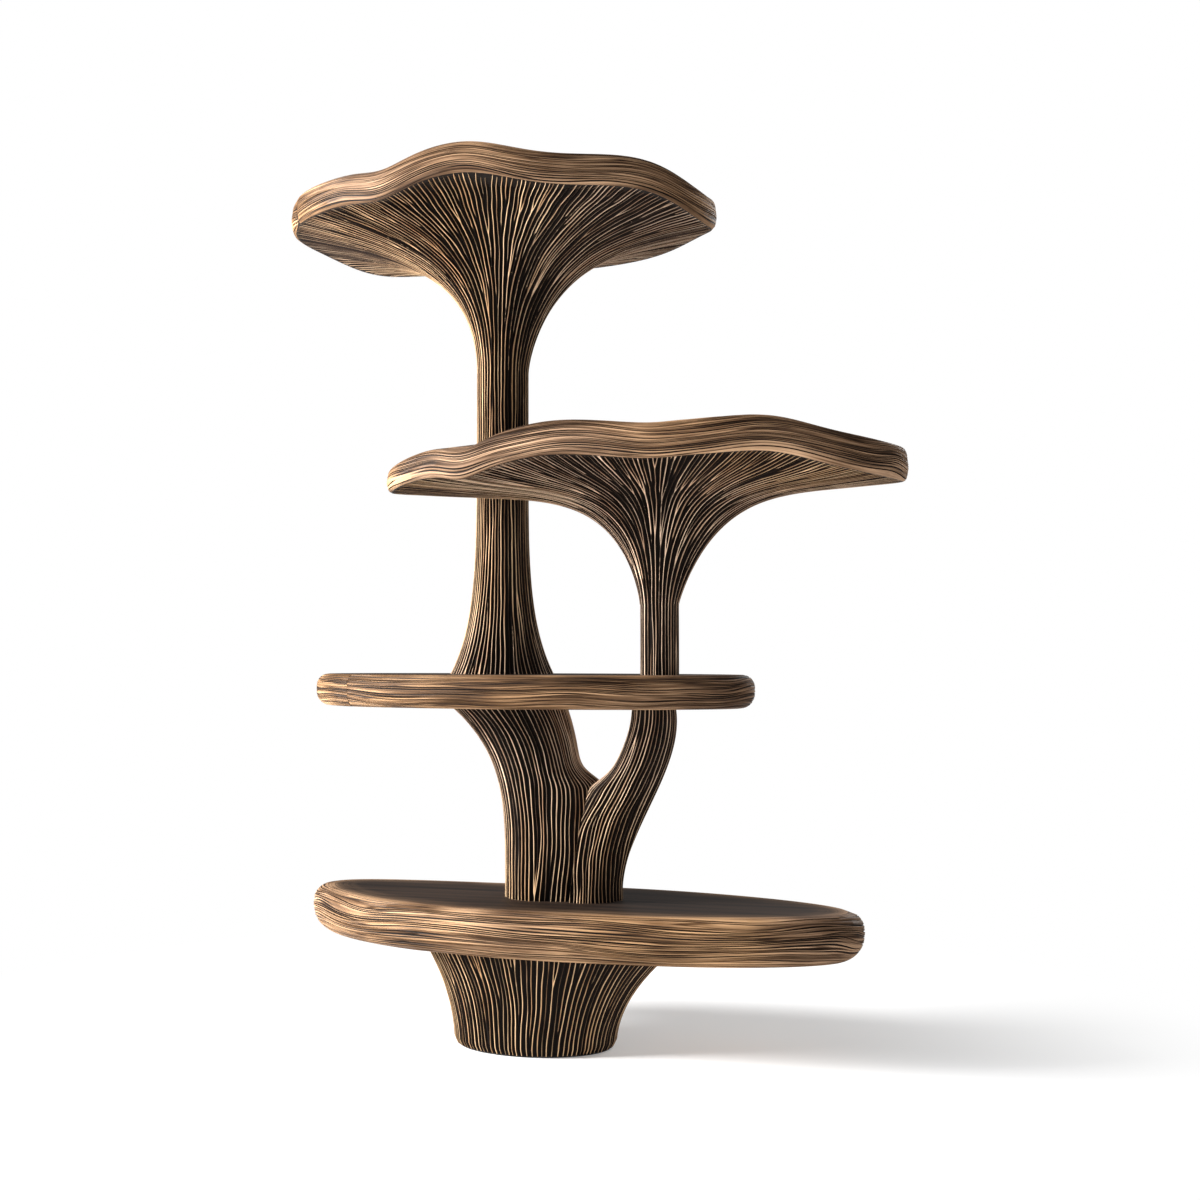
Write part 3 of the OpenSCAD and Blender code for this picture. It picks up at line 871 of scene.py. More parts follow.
    def looks(self, ids: Array, rows: int, strength: Array, forked: list[tuple[int, int, int]]
              ) -> tuple[Array, Array, Array]:
        """Draws what makes one rib differ from another.

        Args:
            ids: The ribs' numbers.
            rows: Count of rows.
            strength: Strength of each rib by row.
            forked: Each fork's number, its parent's and its first row.

        Returns:
            Half width, height and tone by row and rib.
        """
        stout = 1 + self.stout[1] * (self.draw(2, ids, 0, 1) < self.stout[0])
        halves = self.half * self.draw(1, ids, *self.widths) * stout
        halves = halves * (self.swell[0] + self.swell[1] * self.along(20, ids, rows, 0.09))
        low = np.where(self.draw(4, ids, 0, 1) < self.low_share, *self.lows)
        low = low * self.draw(5, ids, *self.low_spread)
        low = low * (self.dips[0] + self.dips[1] * self.along(60, ids, rows, 0.07))
        tones = self.bright + self.draw(3, ids, -self.tones[0], self.tones[0])
        tones = tones + self.tones[1] * (self.along(40, ids, rows, 0.05) - 0.5)
        halves, low, tones = (self.inherit(values, ids, forked) for values in (halves, low, tones))
        return halves, np.clip(strength, 0, 1) * (1 - low), tones

    def cross(self, a: Array, speed: Array, half: Array, high: Array, flat: Array, deep: float
              ) -> tuple[Array, Array, Array]:
        """Shapes the ribs of one row.

        Args:
            a: Angle of each rib.
            speed: Metres for one radian.
            half: Half widths.
            high: Heights, as shares.
            flat: How broad and flat each rib is.
            deep: Depth of a wide valley.

        Returns:
            Angle, drop and crest mark of six points for each rib: heel and brow on the left, the
            middle, brow and heel on the right, and the valley behind it.
        """
        s = self.section
        gap = np.maximum(self.gaps(a) * (speed + np.roll(speed, -1)) / 2, 0.0)
        before = np.roll(gap, 1)
        opened = ease((gap - s.shut) / s.opening) * (1 - s.broad_loss * flat)
        valley = deep * opened
        left_valley, shut = np.roll(valley, 1), np.roll(opened, 1)
        top = (1 - high) * np.minimum(valley, left_valley)
        half = half * (s.low + (1 - s.low) * high)
        most = mix(s.most, s.most_broad, flat)
        right = np.minimum(mix(half, s.broad * gap, flat), most * gap)
        left = np.minimum(mix(half, s.broad * before, flat), most * before)
        wall_r, wall_l = np.minimum(self.slope, s.wall * gap), np.minimum(self.slope, s.wall * before)
        places = np.stack([a - (left + wall_l) / speed, a - left / speed, a, a + right / speed,
                           a + (right + wall_r) / speed, a + self.gaps(a) / 2], axis=-1)
        drop = np.stack([mix(top, left_valley, s.heel), mix(top, left_valley, s.brow), top,
                         mix(top, valley, s.brow), mix(top, valley, s.heel), valley], axis=-1)
        ridge = (s.low_crest + (1 - s.low_crest) * high) * (1 - s.broad_loss * flat)
        # The crest mark falls down the walls and is lowest in open valleys; through the ribbed finish it
        # paints the dark stain and the painted shade there.
        mark = np.stack([ridge * (1 - s.heel_loss * shut), ridge * (1 - s.brow_loss * shut), ridge,
                         ridge * (1 - s.brow_loss * opened), ridge * (1 - s.heel_loss * opened),
                         1 - opened], axis=-1)
        return places, drop, mark

    def carve(self, surface: Surface, rows: Array, restless: Callable[[float], float] = lambda u: 1.0,
              deepen: Callable[[float], float] = lambda u: 1.0,
              broad: Callable[[Array, float], Array] = lambda t, u: 0.0 * t) -> "Carving":
        """Cuts the valleys between the ribs.

        Args:
            surface: Gives a point for an angle and a share of the way.
            rows: Shares of the way, from the narrowest row on.
            restless: How much the ribs wander at a share of the way.
            deepen: Depth at a share of the way, as a share of the full depth.
            broad: How broad and flat the ribs are at an angle and a share of the way.

        Returns:
            The carved surface.
        """
        table, strength, ids, forked = self.grow(surface, rows, restless)
        halves, height, tones = self.looks(ids, len(rows), strength, forked)
        ring = np.arange(len(ids))
        cuts, drops, marks, shades = [], [], [], []
        for k, u in enumerate(rows):
            live = np.nonzero(strength[k] >= 0)[0]
            a = table[k, live]
            speed = self.speed(surface, a, np.full(len(a), u))
            flat = broad(a, u)
            parts = self.cross(a, speed, halves[k, live], height[k, live], flat, self.depth * deepen(u))
            tone = np.clip(tones[k, live], 0, 1) * (1 - self.section.broad_dim * flat)
            owner = np.searchsorted(live, ring, side="right") - 1
            born = (strength[k] >= 0)[:, None]
            for stack, part in zip((cuts, drops, marks), parts):
                stack.append(np.where(born, part[owner], part[owner][:, 5:]).ravel())
            shades.append(np.repeat(tone[owner], 6))
        cuts, drops = np.array(cuts), np.array(drops)
        level = np.repeat(rows[:, None], cuts.shape[1], axis=1)
        points = surface(cuts, level) - normal(surface, cuts, level) * drops[..., None]
        across = (ids[:, None] * self.grain[0] + np.arange(6)[None, :] * self.grain[1]).ravel()
        found = {Mark.CREST: np.clip(np.array(marks), 0, 1), Mark.TONE: np.array(shades)}
        return Carving(points, cuts, drops, found, across)


@dataclass
class Carving:
    """A carved surface.

    Attributes:
        points: Places by row and column.
        angles: Their angles.
        drops: How deep they are cut.
        marks: Values for the finishes.
        across: Place of each column across the grain.
    """

    points: Array
    angles: Array
    drops: Array
    marks: dict[Mark, Array]
    across: Array

    def ends(self, first: float, last: float) -> "Carving":
        """Sets the first and the last row on their joint faces."""
        self.points[0, :, 2], self.points[-1, :, 2] = first, last
        return self

    def lay(self, name: str) -> bpy.types.Object:
        """Lays the piece with a grain that runs along the ribs.

        Args:
            name: The piece's name.

        Returns:
            The piece.
        """
        along = lengths(closed(self.points))
        grain = np.stack(np.broadcast_arrays(along[:, None], 0.0, self.across[None, :]), axis=-1)
        return Bench.lay(name, self.points, self.marks, grain)


def normal(surface: Surface, angles: Array, level: Array, step: float = 1e-3) -> Array:
    """Outward normal of a surface that turns counterclockwise and runs outwards or upwards.

    Args:
        surface: Gives a point for an angle and a share of the way.
        angles: The angles.
        level: The shares.
        step: Difference of angle and share.

    Returns:
        Unit vectors.
    """
    low, high = np.clip(level - step, 0, 1), np.clip(level + step, 0, 1)
    across = surface(angles + step, level) - surface(angles - step, level)
    along = surface(angles, high) - surface(angles, low)
    return unit(np.cross(across, along))


def even_rows(surface: Surface, spacing: float, samples: int = 400, sides: int = 24) -> Array:
    """Shares of the way that lie evenly along a surface.

    Args:
        surface: Gives a point for an angle and a share of the way.
        spacing: Distance between two rows, in metres.
        samples: Shares at which the surface is measured.
        sides: Angles at which it is measured.

    Returns:
        The shares.
    """
    shares = np.linspace(0.0, 1.0, samples)
    angles = np.linspace(0, TURN, sides, endpoint=False)
    grid = surface(np.tile(angles, (samples, 1)), np.repeat(shares[:, None], sides, axis=1))
    steps = np.linalg.norm(np.diff(grid, axis=0), axis=-1).max(axis=1)
    along = np.concatenate([[0.0], np.cumsum(steps)])
    count = max(3, round(along[-1] / spacing))
    return np.interp(np.linspace(0, along[-1], count + 1), along, shares)


@dataclass
class Grain:
    """Carved grain lines that run round an edge, join and part again.

    Attributes:
        count: Strips between the lines.
        seed: Seed of all draws.
        depth: Depth of a line.
        half: Half its width.
        uneven: How much the strips' widths change.
        dark: What is taken off their tone.
        wall: Width of a line's wall.
        shut: Width of a strip up to which its lines close.
        opening: Further width over which they get their full depth.
        start: Width of the plain strip at the start.
        wide_ends: How much wider the outermost strips are.
        strips: Least and most factor of a strip's width.
        tones: Least and most tone of a strip.
        swing: How much the tone changes along a strip.
        clear: How clear a line is on average, and how much that changes along it.
        widths: Least and most factor of a line's width.
        faint: Share of its width that a faint line keeps.
        depths: Least and most factor of its depth.
        most: Most that half a line or a wall takes of a strip.
    """

    count: int
    seed: int
    depth: float = 0.0022
    half: float = 0.0007
    uneven: float = 0.4
    dark: float = 0.0
    wall: float = 0.0008
    shut: float = 0.0010
    opening: float = 0.0014
    start: float = 0.0016
    wide_ends: float = 1.6
    strips: tuple[float, float] = (0.6, 1.4)
    tones: tuple[float, float] = (0.1, 0.9)
    swing: float = 0.28
    clear: tuple[float, float] = (0.82, 0.6)
    widths: tuple[float, float] = (0.7, 1.3)
    faint: float = 0.6
    depths: tuple[float, float] = (0.6, 1.2)
    most: float = 0.2

    def waves(self, rng: np.random.Generator, angles: Array, lowest: int = 1, highest: int = 12
              ) -> Array:
        """Smooth noise round the edge.

        Args:
            rng: Source of the draws.
            angles: The columns' angles.
            lowest: Waves round the edge of the slowest part.
            highest: Waves of the fastest part.

        Returns:
            Values about from -1 to 1.
        """
        total = np.zeros_like(angles)
        for m in range(lowest, highest + 1):
            total += rng.normal() / m ** 0.4 * np.sin(m * angles + rng.uniform(0, TURN))
        return total / 2.2

    def cut(self, length: Array, angles: Array) -> tuple[Array, Array, Array, Array]:
        """Places the lines across the edge.

        Args:
            length: Width of the carved band at each angle, in metres.
            angles: The columns' angles.

        Returns:
            Distance across, depth, crest mark and tone, by row and column.
        """
        rng = np.random.default_rng(self.seed)
        ends = 1 + self.wide_ends * np.abs(np.linspace(-1, 1, self.count)) ** 6
        gaps = np.array([end * rng.uniform(*self.strips) * np.exp(self.uneven * self.waves(rng, angles))
                         for end in ends])
        gaps = gaps / gaps.sum(axis=0) * length
        places = np.cumsum(gaps, axis=0)[:-1]
        tones = [rng.uniform(*self.tones) - self.dark + self.swing * self.waves(rng, angles, 2, 16)
                 for _ in gaps]
        tones = np.clip(tones, -0.5, 1)
        none, full = np.zeros_like(length), np.ones_like(length)
        rows, drops, marks, shades = [none, none + self.start], [none] * 2, [full] * 2, [tones[0]] * 2
        for i, place in enumerate(places):
            room = np.minimum(gaps[i], gaps[i + 1])
            strength = self.clear[0] + self.clear[1] * self.waves(rng, angles, 2, 14)
            strength = ease((room - self.shut) / self.opening) * np.clip(strength, 0, 1)
            width = self.half * rng.uniform(*self.widths) * (self.faint + (1 - self.faint) * strength)
            width, wall = np.minimum(width, room * self.most), np.minimum(self.wall, room * self.most)
            depth = self.depth * rng.uniform(*self.depths) * strength
            rows += [place - width - wall, place - width, place + width, place + width + wall]
            drops += [none, depth, depth, none]
            marks += [full, 1 - strength, 1 - strength, full]
            shades += [tones[i], tones[i], tones[i + 1], tones[i + 1]]
        return (np.array([*rows, length]), np.array([*drops, none]), np.array([*marks, full]),
                np.array([*shades, tones[-1]]))


class Edge:
    """A profile that is swept round a piece, given as rings of points."""

    step: float = 0.001

    def __init__(self, knots: list[Array], samples: int = 12) -> None:
        """Smooths the rings into one dense profile.

        Args:
            knots: Rings of equal count, from the start of the profile to its end.
            samples: Points between two rings.
        """
        rings = np.array([knots[0], *knots, knots[-1]])
        dense = []
        for i in range(1, len(rings) - 2):
            for share in np.linspace(0, 1, samples, endpoint=False):
                dense.append(self._curve(rings[i - 1:i + 3], share))
        dense.append(rings[-1])
        self.points = np.array(dense)
        steps = np.linalg.norm(np.diff(self.points, axis=0), axis=-1)
        self.along = np.concatenate([np.zeros((1, steps.shape[1])), np.cumsum(steps, axis=0)])

    @staticmethod
    def _curve(four: Array, share: float) -> Array:
        """Smooth curve through rings.

        Args:
            four: Four rings that follow each other.
            share: Share of the way from the second one to the third.

        Returns:
            The ring there.
        """
        a, b, c, d = four
        return 0.5 * (2 * b + (c - a) * share + (2 * a - 5 * b + 4 * c - d) * share ** 2
                      + (3 * b - a - 3 * c + d) * share ** 3)

    def at(self, distance: Array) -> tuple[Array, Array]:
        """Points and outward normals at distances from the profile's start.

        Args:
            distance: Distance by row and column.

        Returns:
            Points and normals by row and column.
        """
        columns = self.points.shape[1]
        points = np.empty((*distance.shape, 3))
        tangent = np.empty_like(points)
        for c in range(columns):
            place = np.clip(distance[:, c], 0, self.along[-1, c])
            for axis in range(3):
                points[:, c, axis] = np.interp(place, self.along[:, c], self.points[:, c, axis])
                ahead = np.interp(place + self.step, self.along[:, c], self.points[:, c, axis])
                behind = np.interp(place - self.step, self.along[:, c], self.points[:, c, axis])
                tangent[:, c, axis] = ahead - behind
        sideways = np.roll(points, -1, axis=1) - np.roll(points, 1, axis=1)
        return points, unit(np.cross(sideways, tangent))


@dataclass(frozen=True)
class Levels:
    """Heights of the joint faces, from the floor up."""

    foot: float = 0.003
    base: float = 0.178
    trunk: float = 0.262
    shelf: float = 0.607
    stems: float = 0.666
    top_gills: float = 1.227
    side_gills: float = 0.789


LEVELS = Levels()


@dataclass(frozen=True)
class Joinery:
    """Sizes of the rods and dowels with their holes, and their places seen from above."""

    rod_hole: float = 0.013
    sink: float = 0.039
    sink_depth: float = 0.019
    dowel_hole: float = 0.0164
    dowel_depth: float = 0.027
    over: float = 0.001
    trunk_rod: tuple = (-0.012, 0.030)
    main_rod: tuple = (-0.080, 0.045)
    side_rod: tuple = (0.245, -0.055)
    foot_dowels: tuple = ((-0.09, 0), (0.09, 0))
    root_dowel: tuple = ((0.128, 0.014),)
    branch_dowels: tuple = ((0.226, -0.073), (0.226, -0.037))
    block_dowels: tuple = (-0.05, 0.07)
    cap_dowel: float = 0.09
    fork_dowels: tuple = (0.16, 0.36)

    def upright(self, x: float, y: float, low: float, high: float, width: float) -> Hole:
        """An upright hole."""
        return Vector((x, y, low)), Vector((x, y, high)), width

    def rod_holes(self, place: tuple, low: float, high: float, sink_low: bool = False,
                  sink_high: bool = False) -> list[Hole]:
        """A rod's hole with its counterbores.

        Args:
            place: Place seen from above.
            low: Lower face of the piece.
            high: Upper face of the piece.
            sink_low: Whether a nut is sunk in the lower face.
            sink_high: Whether a nut is sunk in the upper face.

        Returns:
            The holes.
        """
        holes = [self.upright(*place, low - self.over, high + self.over, self.rod_hole)]
        if sink_low:
            holes.append(self.upright(*place, low - self.over, low + self.sink_depth, self.sink))
        if sink_high:
            holes.append(self.upright(*place, high - self.sink_depth, high + self.over, self.sink))
        return holes

    def dowel_holes(self, places: tuple, z: float) -> list[Hole]:
        """Upright dowel holes across a joint face."""
        return [self.upright(x, y, z - self.dowel_depth, z + self.dowel_depth, self.dowel_hole)
                for x, y in places]

    def lying_hole(self, x: float, y: float, z: float) -> Hole:
        """A dowel hole along X."""
        reach = Vector((self.dowel_depth, 0, 0))
        return Vector((x, y, z)) - reach, Vector((x, y, z)) + reach, self.dowel_hole


JOINERY = Joinery()
RIB_ROWS = 0.0045


class Workshop:
    """Finishes, and what every finished piece gets."""

    def __init__(self) -> None:
        """Mixes the finishes."""
        self.finishes = {
            Slot.RIBBED: RibbedWood("carved_ribs").make(),
            Slot.BOARD: BoardWood("grained_boards").make(),
            Slot.DOWEL: PlainWood("beech_dowels").make(),
            Slot.STEEL: ZincSteel("zinc_steel").make(),
            Slot.RUBBER: MattRubber("matt_rubber").make(),
        }

    def dress(self, piece: bpy.types.Object, slot: Slot, *nodes: str) -> None:
        """Gives a piece its finish and its place in the frame.

        Args:
            piece: The new piece.
            slot: Its material slot.
            nodes: The solids that it stands for.
        """
        piece.data.materials.clear()
        piece.data.materials.append(self.finishes[slot])
        if nodes:
            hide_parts(*nodes)
        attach(piece, "root")
        mesh = piece.data
        log.info("%s: %d points, %d faces", piece.name, len(mesh.vertices), len(mesh.polygons))

    def dress_solids(self) -> None:
        """Gives the solids that stay their finishes."""
        endings = {"_dowels": Slot.DOWEL, "_rod": Slot.STEEL, "_washers": Slot.STEEL,
                   "_nuts": Slot.STEEL, "_pad": Slot.RUBBER}
        for name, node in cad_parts.items():
            for ending, slot in endings.items():
                if name.endswith(ending):
                    node.data.materials.clear()
                    node.data.materials.append(self.finishes[slot])


@dataclass
class Foot:
    """The ribbed foot that flares out under the base board."""

    base_l: float = 0.300
    base_d: float = 0.220
    top_l: float = 0.464
    top_d: float = 0.290
    height: float = 0.175
    lean: float = 0.026
    ease_in: float = 0.005
    ease_height: float = 0.06
    flare: float = 1.9
    twist: float = 0.12
    ribs: Ribs = field(default_factory=lambda: Ribs(count=98, limit=(0.0122, 0.0130), seed=11,
                                                    depth=0.0046))

    def surface(self, t: Array, u: Array) -> Array:
        """Skin of the foot.

        Args:
            t: Angle.
            u: Share of the height.

        Returns:
            The point.
        """
        t = t - self.twist * u ** 2
        inset = self.ease_in * np.maximum(0, 1 - u / self.ease_height)
        half_l = mix(self.base_l, self.top_l, u ** self.flare) / 2 - inset
        half_d = mix(self.base_d, self.top_d, u ** self.flare) / 2 - inset
        return np.stack([self.lean * u ** 2 + half_l * np.cos(t), half_d * np.sin(t),
                         LEVELS.foot + self.height * u], axis=-1)

    def build(self, shop: Workshop) -> None:
        """Makes the foot.

        Args:
            shop: The workshop that dresses it.
        """
        rows = even_rows(self.surface, RIB_ROWS)
        piece = self.ribs.carve(self.surface, rows).ends(LEVELS.foot, LEVELS.base).lay("carved_foot")
        Bench.bore(piece, JOINERY.rod_holes(JOINERY.trunk_rod, LEVELS.foot, LEVELS.base, sink_low=True)
                   + JOINERY.dowel_holes(JOINERY.foot_dowels, LEVELS.base))
        shop.dress(piece, Slot.RIBBED, "foot")


@dataclass
class Board:
    """A slab with rounded edges and carved grain round them.

    Attributes:
        name: The piece's name.
        x: Middle of its length.
        sway: How far the left end swings back.
        z: Its lower face.
        length: Its length.
        depth: Its depth.
        thick: Its thickness.
        under: Rounding of the lower edge.
        rounding: Rounding of the upper edge.
        grain: The carved grain.
        wave: Height of the waves in its outline, as a share.
        right_sway: Share of the sway at the right end.
        steps: Rings of a rounded edge.
        rims: How far inside the edge the two rings on each face lie.
        top_marks: How much of the flat top's finish the last three rings have.
    """

    name: str
    x: float
    sway: float
    z: float
    length: float
    depth: float
    thick: float
    under: float
    rounding: float
    grain: Grain
    wave: float = 0.008
    right_sway: float = -0.3
    steps: int = 6
    rims: tuple[float, float] = (0.02, 0.06)
    top_marks: tuple[float, float, float] = (0.2, 0.85, 1.0)

    def ring(self, t: Array, inset: float, z: float) -> Array:
        """Outline at a height.

        Args:
            t: Angles.
            inset: How far it is drawn in.
            z: The height.

        Returns:
            The points.
        """
        wave = 1 + self.wave * (np.sin(5 * t + math.radians(40)) + np.sin(3 * t))
        side = np.where(np.cos(t) >= 0, self.right_sway, 1.0)
        x = self.x + (self.length / 2 * wave - inset) * np.cos(t)
        y = (self.depth / 2 * wave - inset) * np.sin(t) + side * self.sway * np.cos(t) ** 2
        return np.stack([x, y, np.full_like(t, z)], axis=-1)

    def make(self, columns: int) -> bpy.types.Object:
        """Lays the slab's skin, with its grain.

        Args:
            columns: Points round the outline.

        Returns:
            The whole slab.
        """
        t = math.pi / 2 + np.linspace(0, TURN, columns, endpoint=False)
        arc = np.radians(np.linspace(0, 90, self.steps))
        turns = [(1 - math.sin(a), 1 - math.cos(a)) for a in arc]
        top = self.z + self.thick
        rings = [self.ring(t, self.under * side, self.z + self.under * up) for side, up in turns]
        rings += [self.ring(t, self.rounding * side, top - self.rounding * up)
                  for side, up in reversed(turns)]
        edge = Edge(rings)
        rows, drops, marks, tones = self.grain.cut(edge.along[-1], t)
        points, normals = edge.at(rows)
        inner = [self.ring(t, self.rounding + inset, top) for inset in self.rims]
        lower = [self.ring(t, self.under + inset, self.z) for inset in self.rims[::-1]]
        points = np.concatenate([lower, points - normals * drops[..., None], inner])
        plain = np.ones((len(inner), columns))
        share = np.zeros((len(points), columns))
        share[-3:] = np.array(self.top_marks)[:, None]
        found = {Mark.CREST: np.concatenate([plain, marks, plain]),
                 Mark.TONE: np.concatenate([tones[:1], tones[:1], tones, tones[-1:], tones[-1:]]),
                 Mark.TOP: share}
        return Bench.lay(self.name, points, found, self.map(points))

    @staticmethod
    def map(points: Array) -> Array:
        """Grain that runs round the edge and meets itself.

        Args:
            points: Places by row and column.

        Returns:
            Place in the grain, in metres.
        """
        middle = closed(points)[len(points) // 2]
        steps = np.linalg.norm(np.diff(middle, axis=0), axis=-1)
        turn = TURN * (np.cumsum(steps) - steps[0]) / steps.sum()
        radius = steps.sum() / TURN
        around = radius * np.cos(turn)[None, :], radius * np.sin(turn)[None, :]
        return np.stack(np.broadcast_arrays(*around, lengths(points)[:, None]), axis=-1)


@dataclass
class Boards:
    """The base board, and the middle shelf with the block glued on at its left end."""

    split_x: float = -0.322
    shelf_thick: float = 0.059
    base_columns: int = 640
    shelf_columns: int = 520

    def build(self, shop: Workshop) -> None:
        """Makes the three pieces.

        Args:
            shop: The workshop that dresses them.
        """
        self.base(shop)
        self.shelf(shop, "carved_middle_shelf", "middle_shelf", True, 22)
        self.shelf(shop, "carved_end_block", "shelf_end_block", False, 27)

    def base(self, shop: Workshop) -> None:
        """Makes the base board.

        Args:
            shop: The workshop that dresses it.
        """
        grain = Grain(25, seed=21, depth=0.0027, half=0.0011, uneven=0.55, dark=-0.15)
        piece = Board("carved_base_board", x=0.058, sway=0.078, z=LEVELS.base, length=1.064, depth=0.384,
                      thick=0.084, under=0.046, rounding=0.030, grain=grain).make(self.base_columns)
        holes = (JOINERY.rod_holes(JOINERY.trunk_rod, LEVELS.base, LEVELS.trunk)
                 + JOINERY.dowel_holes(JOINERY.foot_dowels, LEVELS.base)
                 + JOINERY.dowel_holes(JOINERY.root_dowel, LEVELS.trunk))
        Bench.bore(piece, holes)
        Bench.mark_rims(piece, holes, LEVELS.trunk)
        shop.dress(piece, Slot.BOARD, "base_board")

    def shelf(self, shop: Workshop, name: str, node: str, right: bool, seed: int) -> None:
        """Makes one of the two parts of the middle shelf.

        Args:
            shop: The workshop that dresses it.
            name: Its name.
            node: The solid that it stands for.
            right: Whether it is the part on the right, which carries the stems.
            seed: Seed of its grain.
        """
        piece = Board(name, x=-0.023, sway=0.030, z=LEVELS.shelf, length=0.846, depth=0.356,
                      thick=self.shelf_thick, under=0.026, rounding=0.022,
                      grain=Grain(22, seed=seed, depth=0.0018, dark=0.4)).make(self.shelf_columns)
        Bench.split(piece, self.split_x, right)
        middle = LEVELS.shelf + self.shelf_thick / 2
        lying = [JOINERY.lying_hole(self.split_x, y, middle) for y in JOINERY.block_dowels]
        holes = []
        if right:
            holes += JOINERY.rod_holes(JOINERY.trunk_rod, LEVELS.shelf, LEVELS.stems, sink_high=True)
            holes += JOINERY.rod_holes(JOINERY.main_rod, LEVELS.shelf, LEVELS.stems, sink_low=True)
            holes += JOINERY.rod_holes(JOINERY.side_rod, LEVELS.shelf, LEVELS.stems, sink_low=True)
            holes += JOINERY.dowel_holes(JOINERY.branch_dowels, LEVELS.shelf)
        Bench.bore(piece, lying + holes)
        Bench.mark_rims(piece, holes, LEVELS.stems)
        shop.dress(piece, Slot.BOARD, node)


@dataclass
class Fork:
    """The trunk and the branch that is glued to it along a slanted seam."""

    height: float = 0.345
    trunk_l: float = 0.144
    trunk_top_l: float = 0.220
    trunk_d: float = 0.150
    trunk_top_d: float = 0.176
    trunk_x: float = 0.008
    trunk_lean: float = 0.070
    trunk_y: float = 0.030
    branch_x: float = 0.096
    branch_y: float = 0.014
    branch_off: float = 0.010
    root_w: float = 0.126
    top_w: float = 0.078
    branch_depth: float = 0.95
    side_x: float = 0.245
    side_y: float = -0.055
    seam_h: float = 0.203
    seam_x: float = 0.076
    seam_lean: float = 0.037
    web: float = 0.045
    web_h: float = 0.028
    web_low: float = 0.006
    twist: float = 0.45
    twist_end: float = 0.5
    trunk_ribs: Ribs = field(default_factory=lambda: Ribs(count=60, limit=(0.0130, 0.0140), seed=31,
                                                          forks=0.6, sway=0.0009))
    branch_ribs: Ribs = field(default_factory=lambda: Ribs(count=32, limit=(0.0105, 0.0125), seed=32,
                                                           forks=0.6, sway=0.0009))

    def seam(self, u: Array) -> Array:
        """Place of the seam at share u of the height."""
        return self.seam_x + self.seam_lean * u * self.height / self.seam_h

    def swelling(self, u: Array) -> Array:
        """How far the two swell towards the seam."""
        over = np.maximum(0, u * self.height - self.seam_h + self.web_low) / self.web_h
        return self.web * np.exp(-over ** 2)

    def flow(self, t: Array, start: float, limit: Array, ended: Array, side: int) -> Array:
        """Bends the angles so that ribs run along the seam and calmly past the crotch.

        Args:
            t: Angle on the lowest row.
            start: Angle of the seam on the lowest row.
            limit: Angle of the seam on the wanted row.
            ended: How far the swelling has ended, as a share of the half width.
            side: 1 where the swelling is on the right, -1 on the left.

        Returns:
            Angle on the wanted row.
        """
        turn = np.arctan2(np.sin(t), np.cos(t))
        size = np.abs(turn)
        far = size + (limit - start) * ((math.pi - size) / (math.pi - start)) ** 2
        size = np.where(size < start, size * limit / start, far)
        share = side * (1 - 2 * size / math.pi)
        share = np.where(share > 0, share * (1 + ended * (1 - share)), share)
        return np.sign(turn) * (1 - side * share) * math.pi / 2

    def trunk_size(self, u: Array) -> tuple[Array, Array, Array]:
        """Middle, half length and half depth of the trunk."""
        return (self.trunk_x - self.trunk_lean * u ** 4, mix(self.trunk_l, self.trunk_top_l, u ** 4) / 2,
                mix(self.trunk_d, self.trunk_top_d, u ** 3) / 2)

    def trunk_seam(self, u: Array) -> Array:
        """Angle at which the trunk meets the seam."""
        middle, half_l, _ = self.trunk_size(u)
        return np.arccos((self.seam(u) - middle) / (half_l + self.web))

    def branch_size(self, u: Array) -> tuple[Array, Array]:
        """Middle and half width of the branch."""
        return (mix(self.branch_x, self.side_x - self.branch_off, u * u * (3 - 2 * u)),
                mix(self.root_w, self.top_w, u ** 1.3) / 2)

    def branch_seam(self, u: Array) -> Array:
        """Angle at which the branch meets the seam."""
        middle, half = self.branch_size(u)
        return np.arccos((self.seam(u) - middle) / (half + self.web / 2))

    def trunk(self, t: Array, u: Array) -> Array:
        """Skin of the trunk, before it is cut on the seam.

        Args:
            t: Angle.
            u: Share of the height.

        Returns:
            The point.
        """
        middle, half_l, half_d = self.trunk_size(u)
        swelling = self.swelling(u)
        t = self.flow(t, float(self.trunk_seam(np.array(0.0))), self.trunk_seam((u - u * u / 2) / 2),
                      (self.web - swelling) / (half_l + swelling), 1)
        x = middle + half_l * np.cos(t) + swelling * np.maximum(0, np.cos(t))
        return np.stack([x, self.trunk_y + half_d * np.sin(t), LEVELS.trunk + u * self.height], axis=-1)

    def branch(self, t: Array, u: Array) -> Array:
        """Skin of the branch, before it is cut on the seam.

        Args:
            t: Angle.
            u: Share of the height.

        Returns:
            The point.
        """
        middle, half = self.branch_size(u)
        swelling = self.swelling(u) / 2
        t = t - self.twist * ease(u / self.twist_end)
        t = self.flow(t, float(self.branch_seam(np.array(0.0))), self.branch_seam((u - u * u / 2) / 2),
                      (self.web / 2 - swelling) / (half + swelling), -1)
        x = middle + half * np.cos(t) + swelling * np.minimum(0, np.cos(t))
        y = mix(self.branch_y, self.side_y, u) + half * self.branch_depth * np.sin(t)
        return np.stack([x, y, LEVELS.trunk + u * self.height], axis=-1)

